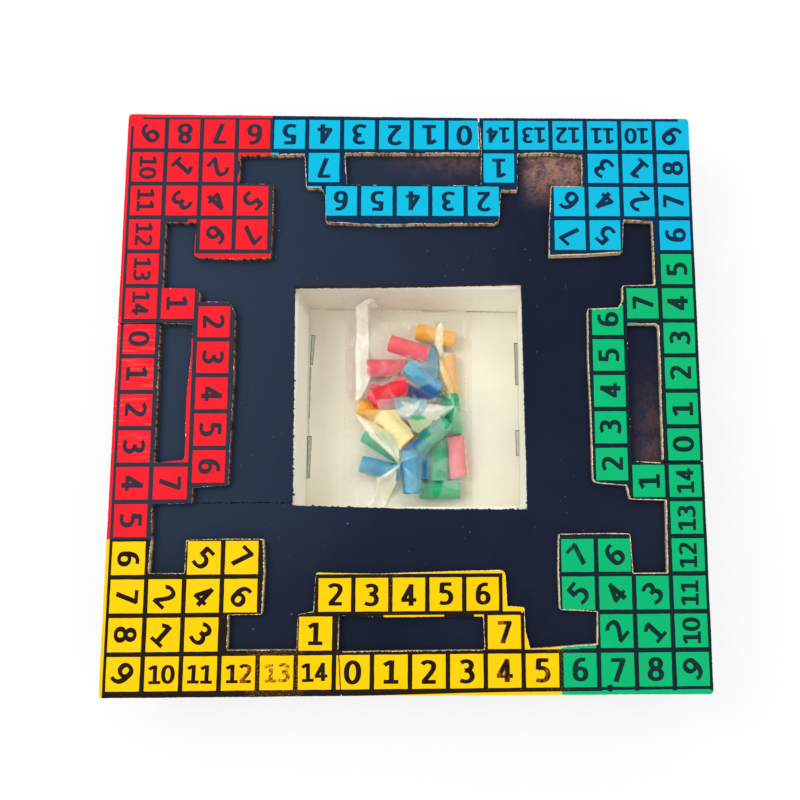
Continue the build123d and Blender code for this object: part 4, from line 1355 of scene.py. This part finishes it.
# how cloudy the film looks in its folds, with painted glare where it is whitest and painted shade where the tint is
# dark: amount, own tint if any, and the x and y in mm of each corner
foldHazeGlareAndShade = [
    (0.14, (214, 184, 166), -51.8, 69.1, -43.1, 68.5, -44.5, 41.3, -43.3, 4.1, -50.6, 5.2, -52.9, 37.4),
    (0.30, (222, 196, 178), -52.1, 43.3, -44.5, 49.1, -43.1, 4, -48.7, 5.1, -51.4, 22.1),
    (0.30, (236, 222, 200), -55.8, 72.6, -53.9, 72.6, -52.1, 45.2, -53.5, 45.2),
    (0.86, (252, 246, 230), -42.1, 71, -34.3, 74.5, -32.8, 71.8, -34, 61.9, -34, 40.8, -31.9, 20, -35.3, 10.1, -39,
     3.1, -42.9, 4, -44.3, 41.3),
    (0.95, (255, 250, 236), -42.1, 71, -38.4, 73, -39.4, 64.2, -40.7, 41.3, -40.5, 17.6, -41.1, 3.6, -42.9, 4, -44.3,
     41.3),
    (0.80, (250, 243, 226), -41.5, 71.6, -34.3, 74.5, -30.4, 75.2, -26.9, 74.3, -28.6, 72.9, -33.9, 72.2, -38.8,
     70.8),
    (0.46, (244, 234, 216), -30.5, 74.7, -27.1, 73.4, -20.6, 63.4, -22.5, 63, -26.9, 69.2, -30.9, 73),
    (0.20, (206, 196, 176), -32.4, 71.2, -22.1, 70.4, -21.1, 63.1, -31.1, 66.1),
    (0.30, (238, 226, 208), -32.4, 64, -19.3, 61.5, -17.7, 49.8, -19.4, 45.7, -32.2, 53.8),
    (0.14, (206, 196, 178), -34.1, 53.8, -19.4, 45.7, -16, 39.2, -26.4, 35.1, -32.8, 40.7),
    (0.34, (242, 232, 214), -11.9, 70, -8.3, 69.3, -2.2, 60.7, -2.1, 54.1, -7.8, 63.4),
    (0.22, (240, 228, 212), -18.3, 62.2, -7.9, 62.6, -2.1, 53.5, -10.7, 47.9, -16.7, 50.7),
    (0.26, (236, 222, 206), -24.9, 75.1, -1.5, 72.5, -1.7, 69.8, -21.7, 72.5),
    (0.30, (240, 230, 212), -9.2, 69.2, 3.4, 68.2, 15, 62.2, 17.1, 59.2, -0.1, 60.4, -9.8, 59.9),
    (0.24, (240, 232, 214), 5.5, 65.7, 20.4, 67.1, 36.3, 69.2, 37.5, 65.2, 22.4, 63.3, 10.7, 62.1),
    (0.40, (246, 238, 220), 36.4, 65.1, 39.1, 65.4, 39.7, 51.7, 37.5, 53.4),
    (0.30, (246, 238, 220), 39, 24.1, 41.2, 24.4, 40.5, 4.5, 38.8, 4.2),
    (0.26, (224, 206, 190), 15.1, 69.7, 23.6, 70, 36.3, 70, 33.1, 68.5, 20.4, 68.3),
    (0.30, (246, 196, 120), -0.1, 60.4, 8.5, 59, 15.5, 45.3, 7.7, 45.4, -0.2, 47.5),
    (0.84, (255, 238, 196), 17.1, 57, 20.8, 62, 22.9, 59.2, 22.7, 48, 22.4, 39.2, 20.8, 34.4, 18.4, 39.6, 16.1,
     44.1),
    (0.30, (244, 214, 160), 23.5, 55.9, 31.5, 54.5, 31.8, 41.4, 26.6, 40.7, 23.7, 45),
    (0.55, (236, 226, 214), 22.4, 39.2, 27.2, 38.2, 31.4, 39, 26.6, 35.8, 21.3, 34.5),
    (0.34, (255, 150, 160), -15.9, 42.6, -1.4, 38.8, -1.4, 31.8, -13.5, 35.4),
    (0.36, (250, 160, 170), -34.7, 33, -8.9, 32.6, -10.7, 19.6, -31.9, 20.9),
    (0.50, (255, 190, 196), -34.3, 26, -30.9, 29.7, -30.9, 21.8, -32.9, 21.2),
    (0.36, (250, 150, 162), 4.8, 39.4, 12.1, 39.1, 11, 29.5, 5.8, 29.7),
    (0.55, (132, 204, 224), -8.1, 20.3, -4.2, 26.2, 1.5, 29.5, 5.8, 26.6, 5.2, 18.1, -4.3, 19.1),
    (0.62, (150, 190, 200), 11.6, 39.1, 16.1, 40.8, 18.4, 34, 18.5, 18.1, 14.7, 15, 10.1, 19.3, 3.8, 26.9, 11, 29.9),
    (0.22, (90, 170, 205), -6.6, 23.9, -0.8, 27.8, 2.7, 28, 7, 19.2, -2.4, 17.3, -6.6, 19.8),
    (0.34, (120, 196, 212), -2.4, 17.3, 7, 19.2, 12.7, 13.9, 3.8, 13.4),
    (0.70, (22, 92, 160), 2.6, 9.6, 12.1, 12.9, 20.4, 6.9, 22.4, 2.1, 10.9, 3.9),
    (0.86, (26, 48, 112), -3.9, 14, 1.7, 11.4, 10.9, 4.8, 18.2, 1.8, -2.8, 2.2),
    (0.50, (246, 220, 168), 19.2, 34.1, 30.9, 35.4, 32.1, 8.8, 27.6, 15, 22.4, 30.3),
    (0.80, (255, 226, 158), 19.8, 33.1, 22.4, 30.3, 27.1, 20.7, 31.3, 5.8, 28.7, 4.4, 23.5, 15.2, 20.3, 25.7),
    (0.00, None, -18.2, 13.7, -5.7, 17.7, -2.7, 11.5, -4.4, 6.3, -10.2, 3.4, -15.7, 6.3),
    (0.24, None, -16.6, 16.2, -15, 19.7, -5.8, 18.3, -4.2, 15.2, -16, 14.1),
    (0.00, None, -30.5, 9.7, -18, 11.8, -14.4, 2.4, -25.6, 0.4),
    (0.42, (250, 176, 184), -25.6, 0.4, -13.9, 2.2, -12.2, -3.8, -22.8, -6.8),
    (0.04, None, -40, 5.1, -28.6, 3.4, -23.5, -6.3, -38.7, -5.4),
    (0.56, (255, 222, 160), -35.6, -6, -20.7, -6.7, -19.9, -14.1, -30.5, -14.5),
    (0.90, (255, 238, 166), -28.3, -14.7, -20.7, -7.1, -12.5, -5.2, -7.4, -13.2, -1.5, -19.2, 3.8, -25.5, -4, -32.9,
     -8.5, -35.4, -12.9, -28.2, -20.8, -20.2),
    (0.34, (252, 200, 110), -26.7, -15.3, -20.7, -18.3, -19.7, -20.3, -23.2, -19.9),
    (0.14, (250, 190, 90), -1.4, -20, 5.6, -26.2, -4, -34, -8.1, -34.4, -4, -30.5, 1.6, -25.5),
    (0.84, (226, 236, 200), -25.7, -23.7, -19.3, -21, -12, -25.6, -9.3, -33.9, -9.3, -42.6, -16.9, -34.7),
    (0.50, (150, 200, 160), -21.4, -31.6, -19.9, -30.3, -12.4, -39.3, -9.2, -44, -14.7, -39.2),
    (0.84, (255, 242, 206), -40.7, -7.3, -28.3, -14.7, -19.3, -21, -25.7, -23.7, -34.1, -16.6),
    (0.95, (255, 247, 224), -42.8, -7.4, -40.4, -7.6, -26.4, -23.7, -16.2, -34.7, -8.6, -45, -10.8, -44.4, -20.8,
     -35.4, -31.1, -24.2),
    (0.30, (170, 210, 180), -34.3, -28.8, -28.9, -26.3, -14.7, -39.2, -10.8, -44.2, -17.8, -41.7, -33.7, -34.6),
    (0.30, (150, 200, 210), -36.6, -40, -31.4, -34.7, -10.8, -44.2, -10.1, -47.5, -20.7, -52.6, -33.3, -50.6),
    (0.86, (238, 232, 208), -26.7, -53.7, -21, -53.5, -11.4, -48.6, -11.7, -58.2, -17, -66.7, -23.6, -81.3, -34.6,
     -81.2, -27.3, -62.9),
    (0.70, (246, 242, 222), -21.5, -53.9, -26.4, -62, -33.8, -74.8, -34.6, -81.2, -30, -81.3, -20.8, -63, -16.5,
     -56.1),
    (0.96, (255, 255, 248), -8.5, -45.4, -9.5, -47.9, -19.1, -54, -25.9, -54.5, -21.4, -52.6, -13.3, -48),
    (0.30, (120, 160, 200), -11.5, -49.4, -8.1, -47.1, -8.6, -57.7, -11.7, -57.3),
    (0.08, None, -8.1, -35.4, 1.7, -35.9, -1.1, -40.2, -6.9, -45),
    (0.42, (140, 206, 226), -3.9, -45.2, 5.2, -42.7, 6.8, -67.6, -1.3, -68.5, -2.5, -57.4),
    (0.05, (20, 90, 150), -8.1, -45.6, -3.9, -50.2, -1.8, -67.8, -5.3, -67.7, -7, -57),
    (0.46, (150, 196, 206), -7.9, -45.7, 0.3, -37.4, 10.7, -28.4, 15.2, -32.6, 12.3, -36.1, 5.2, -42.7, -4, -45.6),
    (0.52, (40, 84, 156), -1.9, -33.1, 5.2, -26.5, 9, -28.9, 2.8, -34.2, -1.1, -35),
    (0.30, (30, 90, 160), 7.3, -44, 10.8, -40.9, 11.1, -59.6, 8, -59.8),
    (0.06, None, 5.2, -25.7, 16.7, -14.8, 19.3, -18.6, 7.5, -27.7),
    (0.52, (160, 212, 180), 8.9, -28.2, 20.4, -18.1, 25, -20.6, 22.5, -26.4, 14.6, -31.7),
    (0.70, (232, 206, 206), 17, -13.5, 22.5, -16.8, 23.6, -21.1, 21.5, -19.2, 18.1, -16.5),
    (0.78, (196, 224, 174), -3.9, -11.9, 15.1, -12.3, 13.8, -16, 5.5, -23.5, 0.4, -20.7),
    (0.84, (222, 222, 206), 6.9, -0.5, 19.1, -1, 20.7, -12.5, 17.4, -13.6, 10.3, -11.9, 5.4, -7.7),
    (0.66, (170, 206, 214), -13.7, 2.5, -1.7, 4.1, 10.1, 3.4, 10.7, -1.6, 7, -7.6, -4.6, -12.8, -11, -8.8),
    (0.90, (224, 228, 212), -10.4, -5.5, -4.6, 0.7, 1, -0.6, 5.6, 3.2, 4.6, -1.7, 1.2, -6.4, -1.8, -9.6, -4.7, -10.6,
     -8.6, -9.6, -13.2, -6),
    (0.20, (90, 190, 140), 19, 7.7, 24.7, 7.7, 31.4, -1.6, 24.7, 2.3),
    (0.50, (20, 110, 90), 17.5, 5, 20.3, 5.5, 31.3, -1.7, 23.2, 2.1),
    (0.66, (200, 236, 206), 24.7, 7.7, 26.5, 6.6, 31.4, -1.2, 29.8, -0.9),
    (0.30, (150, 216, 170), 26.5, 6.6, 32.1, 8.2, 32, -1.2),
    (0.50, (10, 110, 90), 19.5, 1.5, 30.9, -1.7, 19.5, -1.2),
    (0.80, (228, 240, 216), 18.7, -2, 31.4, -1.9, 27.6, -4.5, 20.7, -9.8, 18.8, -6.6),
    (0.10, (10, 130, 90), 20.9, -11.8, 30.2, -3.6, 27.6, -8.8, 23.3, -15.9),
    (0.60, (172, 226, 192), 31.4, -2.8, 35.8, -19.4, 24.7, -22.1, 27.6, -13.8),
    (0.66, (200, 238, 212), 30.7, -4.9, 32.1, -4.8, 33.8, -19.1, 30.8, -19.9),
    (0.20, (60, 170, 120), 27.6, -8.4, 30.5, -4.2, 29, -15.1, 24.7, -21.3, 24, -17.2),
    (0.30, (120, 200, 160), 15.2, -35.2, 27.5, -31, 26.7, -38.9, 16.5, -44.1),
    (0.30, (120, 200, 160), 16.5, -51, 20.1, -47.7, 27.4, -55, 17.2, -55.8),
    (0.46, (255, 196, 196), 25.7, -26.4, 37.9, -23.7, 40.7, -54, 28.1, -55.7),
    (0.62, (255, 220, 218), 37.9, -23.7, 38.6, -23.7, 41, -53.3, 40.2, -53.8),
    (0.26, (150, 220, 176), 8.7, -60.1, 12.9, -57.3, 17.2, -57.2, 14.3, -63.8, 8.6, -66.8),
    (0.44, (160, 230, 186), 23, -57.2, 33.6, -57.2, 32.9, -64.2, 24.6, -61.6),
    (0.14, (60, 210, 130), 14.3, -63.8, 17.2, -57.2, 22.3, -57.2, 20.1, -68.8, 15.7, -69.1),
    (0.36, (170, 226, 180), 20.1, -65.3, 33.2, -64.6, 32.5, -68.8, 19.3, -69.4),
    (0.92, (30, 160, 104), -2.5, -9.8, 1.1, -8.4, 6.9, -8.8, 10.7, -11.7, 1.1, -12.6),
    (0.50, (140, 208, 224), -7.3, 22.4, -2.8, 28.1, 1.5, 29.5, 5.9, 24.2, 8.8, 18.8, 0.1, 17.5),
    (0.56, (164, 200, 184), 13.1, -17.2, 21.1, -12.6, 24.7, -17.2, 18.2, -26.4, 11.8, -24.5),
    (0.55, (0, 122, 112), 3.7, -24.7, 9.4, -19.3, 13.9, -24.4, 8.9, -28.8),
    (0.75, (30, 84, 156), -7.8, -35.1, -0.4, -29.4, 6, -25.6, 8.9, -29.5, 0.3, -35.2, -5.4, -37.2),
    (0.55, (196, 230, 204), 31.9, -0.2, 21.4, 6.6, 23.1, 7.4),
    (0.60, (196, 230, 204), 31.9, -0.2, 25.4, 8.5, 26.9, 8.9),
    (0.50, (196, 230, 204), 31.9, -0.2, 19.2, 1.8, 19.5, 0.6),
    (0.60, (190, 226, 200), 31.9, -1.2, 21, -9.7, 22.9, -12.4),
    (0.45, (170, 222, 190), 32, -1.9, 27.5, -22.3, 35.6, -20.2, 36.1, -11.7),
    (0.45, (150, 208, 222), -7.4, -35.5, 6, -35.1, 6.3, -64.3, -4.7, -67.2),
]


def insideFold(x, y, corners):
    # which of the points lie inside a closed outline
    within = np.zeros(x.shape, bool)
    for (x0, y0), (x1, y1) in zip(corners, corners[1:] + corners[:1]):
        if y0 == y1:
            continue
        crossing = (y0 > y) != (y1 > y)
        within ^= crossing & (x < x0 + (y - y0) * (x1 - x0) / (y1 - y0))
    return within


def restingHeight(x, y):
    # how high the pegs stand under each point of the film, and which peg is the highest there
    height = np.full(x.shape, bag["floor"] + bag["bareLoft"])
    highest = np.full(x.shape, -1)
    for number, (start, end, radius) in enumerate(pegLines):
        way = end - start
        length = way.length
        way /= length
        dx, dy = x - start.x, y - start.y
        flat = math.hypot(way.x, way.y)
        ux, uy = way.x / flat, way.y / flat
        along = dx * ux + dy * uy
        across = np.abs(-dx * uy + dy * ux)
        reach = radius + bag["clearance"]
        inside = (along > -bag["clearance"]) & (along < length + bag["clearance"]) & (across < reach)
        crown = start.z + (end.z - start.z) * np.clip(along / length, 0, 1)
        crown = crown + np.sqrt(np.maximum(reach ** 2 - across ** 2, 0))
        over = inside & (crown > height)
        height = np.where(over, crown, height)
        highest = np.where(over, number, highest)
    return height, highest


def filmHeights(x, y, rest):
    # the upper film lies taut over the pegs, pinned at its seams and leaning up at its mouth
    mouthRise = np.clip((y - bag["lift"]) / (bag["far"] - bag["lift"]), 0, 1)
    lowMouth, topMouth = (height - bag["floor"] for height in bag["mouth"])
    low = bag["floor"] + lowMouth * mouthRise ** 1.3
    top = bag["floor"] + bag["loft"] + topMouth * mouthRise ** 1.1
    height = np.maximum(rest, np.where(mouthRise > 0, top, rest))
    over = low + bag["gap"]
    pinned = np.maximum(over, bag["floor"] + bag["loft"])
    for _ in range(bag["relaxing"]):
        mean = height.copy()
        around = height[2:, 1:-1] + height[:-2, 1:-1] + height[1:-1, 2:] + height[1:-1, :-2]
        mean[1:-1, 1:-1] = around / 4 - bag["sag"]
        height = np.maximum(np.maximum(mean, rest), over)
        height[0, :] = pinned[0, :]
        height[:, 0] = pinned[:, 0]
        height[:, -1] = pinned[:, -1]
        height[-1, :] = top[-1, :] - (np.abs(np.linspace(-1, 1, x.shape[1])) ** 2.5) * (top[-1, :] - pinned[-1, :])
    return height, low


def softened(values, rounds):
    # spreads values a little over their neighbours
    for _ in range(rounds):
        padded = np.pad(values, ((1, 1), (1, 1), (0, 0)), mode="edge")
        values = (padded[2:, 1:-1] + padded[:-2, 1:-1] + padded[1:-1, 2:] + padded[1:-1, :-2] + padded[1:-1, 1:-1]) / 5
    return values


def filmMaterial():
    paint = Paint("clearFilm")
    # painted glare comes with the cloudiness, and painted shade with the tint, both read from the film's attributes
    hazeAndGlare = paint.attribute("hazeAndGlare")
    tint = paint.attribute("tint", output="Color")
    fine = paint.speckle(420.0)
    wrinkle = paint.speckle(1.0, detail=3.0, vector=paint.stretched(160, 60, 160))
    crumple = paint.speckle(210.0, detail=4.0, roughness=0.65)
    # thick folds are crumpled, thin film only a little streaky
    broken = 1 - (hazeAndGlare.ramp(0.35, 0.85) * crumple.ramp(0.62, 0.36) * 0.07)
    cloudy = hazeAndGlare * broken + (wrinkle - 0.5) * 0.10 + (fine - 0.5) * 0.05
    edge = paint.node("ShaderNodeLayerWeight", sockets={"Blend": 0.2}, output=1)
    cover = (cloudy + edge * 0.10).most(0.01).least(0.98)
    return paint.shaded(Base_Color=tint, Roughness=0.3, Specular_IOR_Level=0.6, Alpha=cover,
                        Normal=paint.bump(wrinkle + crumple * 0.5, 0.35, 0.0006))


def makeBag(material):
    columns, rows, coarse = bag["columns"], bag["rows"], bag["coarse"]
    xs = np.linspace(bag["left"], bag["right"], columns + 1)
    ys = np.linspace(bag["near"], bag["far"], rows + 1)
    x, y = np.meshgrid(xs, ys)
    rest, highest = restingHeight(x, y)
    top, low = filmHeights(x, y, rest)
    # sharp creases and the fans of small pleats round each pinch
    mx, my = x / mm, y / mm
    lift = np.zeros(x.shape)
    for x0, y0, x1, y1, high in bag["creases"]:
        length = math.hypot(x1 - x0, y1 - y0)
        t = np.clip(((mx - x0) * (x1 - x0) + (my - y0) * (y1 - y0)) / length ** 2, 0, 1)
        away = np.hypot(mx - x0 - t * (x1 - x0), my - y0 - t * (y1 - y0))
        lift = np.maximum(lift, high * np.maximum(1 - away / bag["creaseReach"], 0))
    for px, py, reach, high in bag["pinches"]:
        radius = np.hypot(mx - px, my - py)
        angle = np.arctan2(my - py, mx - px)
        pleat = np.abs(((angle * bag["pleats"]) % 1.0) - 0.5) * 2
        lift += high * pleat * np.maximum(1 - radius / reach, 0) * np.minimum(radius / bag["pleatStart"], 1)
    toSeam = np.minimum(mx - bag["left"] / mm, bag["right"] / mm - mx) / bag["seamFade"]
    fade = np.clip(np.minimum(toSeam, (my - bag["near"] / mm) / bag["seamFade"]), 0, 1)
    top = top + lift * mm * fade
    # cloudiness of the film at each point, and the colour that it borrows from the peg under it; the folds add painted
    # glare where they are whitest and painted shade where their tint is dark
    clear, cloudy = bag["clouding"]
    over = np.clip((rest - bag["floor"] - clear) / (cloudy - clear), 0, 1)
    hazeAndGlare = bag["marginHaze"] + (bag["hazeAndGlare"] - bag["marginHaze"]) * over
    clean = np.array(bag["clean"], float)
    palette = np.array([[c ** (1 / 2.2) * 255 for c in shades[1][:3]] for shades in pegColours.values()])
    borrowed = clean * (1 - bag["borrowed"]) + palette[np.maximum(highest, 0) // 5] * bag["borrowed"]
    tintsAndPaintedLight = np.where((highest >= 0)[..., None], borrowed, clean)
    for amount, tint, *flat in foldHazeGlareAndShade:
        corners = list(zip(flat[::2], flat[1::2]))
        inside = sum(insideFold(mx + a, my + b, corners).astype(float) for a in (-0.2, 0.2) for b in (-0.2, 0.2)) / 4
        hazeAndGlare = hazeAndGlare * (1 - inside) + amount * inside
        if tint or amount > 0.3:
            tintsAndPaintedLight = np.where((inside > 0.5)[..., None], np.array(tint or bag["clean"], float), tintsAndPaintedLight)
    # painted light and shade: small flat facets all over, each lighter or darker, and a fan of lighter and darker
    # pleats round each pinch
    chance = random.Random(bag["seed"])
    nearest, level = np.full(x.shape, 1e9), np.zeros(x.shape)
    for _ in range(bag["facets"]):
        fx, fy = (chance.uniform(*field) for field in bag["facetField"])
        lean, shade = chance.uniform(0, math.pi), chance.uniform(-1, 1)
        along = (mx - fx) * math.cos(lean) + (my - fy) * math.sin(lean)
        across = (my - fy) * math.cos(lean) - (mx - fx) * math.sin(lean)
        away = np.hypot(along * bag["facetLength"], across)
        level = np.where(away < nearest, shade, level)
        nearest = np.minimum(nearest, away)
    hazeAndGlare = hazeAndGlare + level * bag["facetLightAndShade"]
    for px, py, _, _ in bag["pinches"]:
        edges = np.sort([chance.uniform(-math.pi, math.pi) for _ in range(bag["wedges"])])
        shadeOf = np.array([chance.uniform(-1, 1) for _ in range(bag["wedges"] + 1)])
        wedge = shadeOf[np.searchsorted(edges, np.arctan2(my - py, mx - px))]
        hazeAndGlare = hazeAndGlare + wedge * bag["fan"] * np.clip(1 - np.hypot(mx - px, my - py) / bag["fanReach"], 0, 1)
    hazeAndGlare = np.clip(hazeAndGlare, 0, bag["mostHaze"]) * np.clip(toSeam, 0.15, 1)
    for gx, gy, size in bag["glints"]:
        bright = np.hypot(mx - gx, my - gy) < size
        hazeAndGlare = np.where(bright, 1.0, hazeAndGlare)
        tintsAndPaintedLight = np.where(bright[..., None], 255.0, tintsAndPaintedLight)
    tintsAndPaintedLight = softened(tintsAndPaintedLight, 3)
    points = list(zip(x.ravel(), y.ravel(), top.ravel()))
    hazes = list(hazeAndGlare.ravel())
    shades = [tone(*t) for t in tintsAndPaintedLight.reshape(-1, 3)]
    faces = []
    wide = columns + 1
    for j in range(rows):
        for i in range(columns):
            a = j * wide + i
            faces.append((a, a + 1, a + wide + 1, a + wide))
    # the lower film shares the seams at both sides and at the near end
    index = {}
    for j in range(0, rows + 1, coarse):
        for i in range(0, columns + 1, coarse):
            if i in (0, columns) or j == 0:
                index[j, i] = j * wide + i
            else:
                index[j, i] = len(points)
                points.append((x[j, i], y[j, i], low[j, i] + bag["lowerGap"]))
                hazes.append(bag["belowHaze"])
                shades.append(tone(*bag["clean"]))
    for j in range(0, rows, coarse):
        for i in range(0, columns, coarse):
            faces.append((index[j, i], index[j + coarse, i], index[j + coarse, i + coarse], index[j, i + coarse]))
    mesh = meshFrom("filmBag", points, faces, smooth=True)
    mesh.attributes.new("hazeAndGlare", "FLOAT", "POINT").data.foreach_set("value", hazes)
    mesh.attributes.new("tint", "FLOAT_COLOR", "POINT").data.foreach_set("color", np.array(shades, float).ravel())
    return dress(addObject("filmBag", mesh), material, "bag", "piece_bag")


filmBag = makeBag(filmMaterial())
print("film bag is laid")
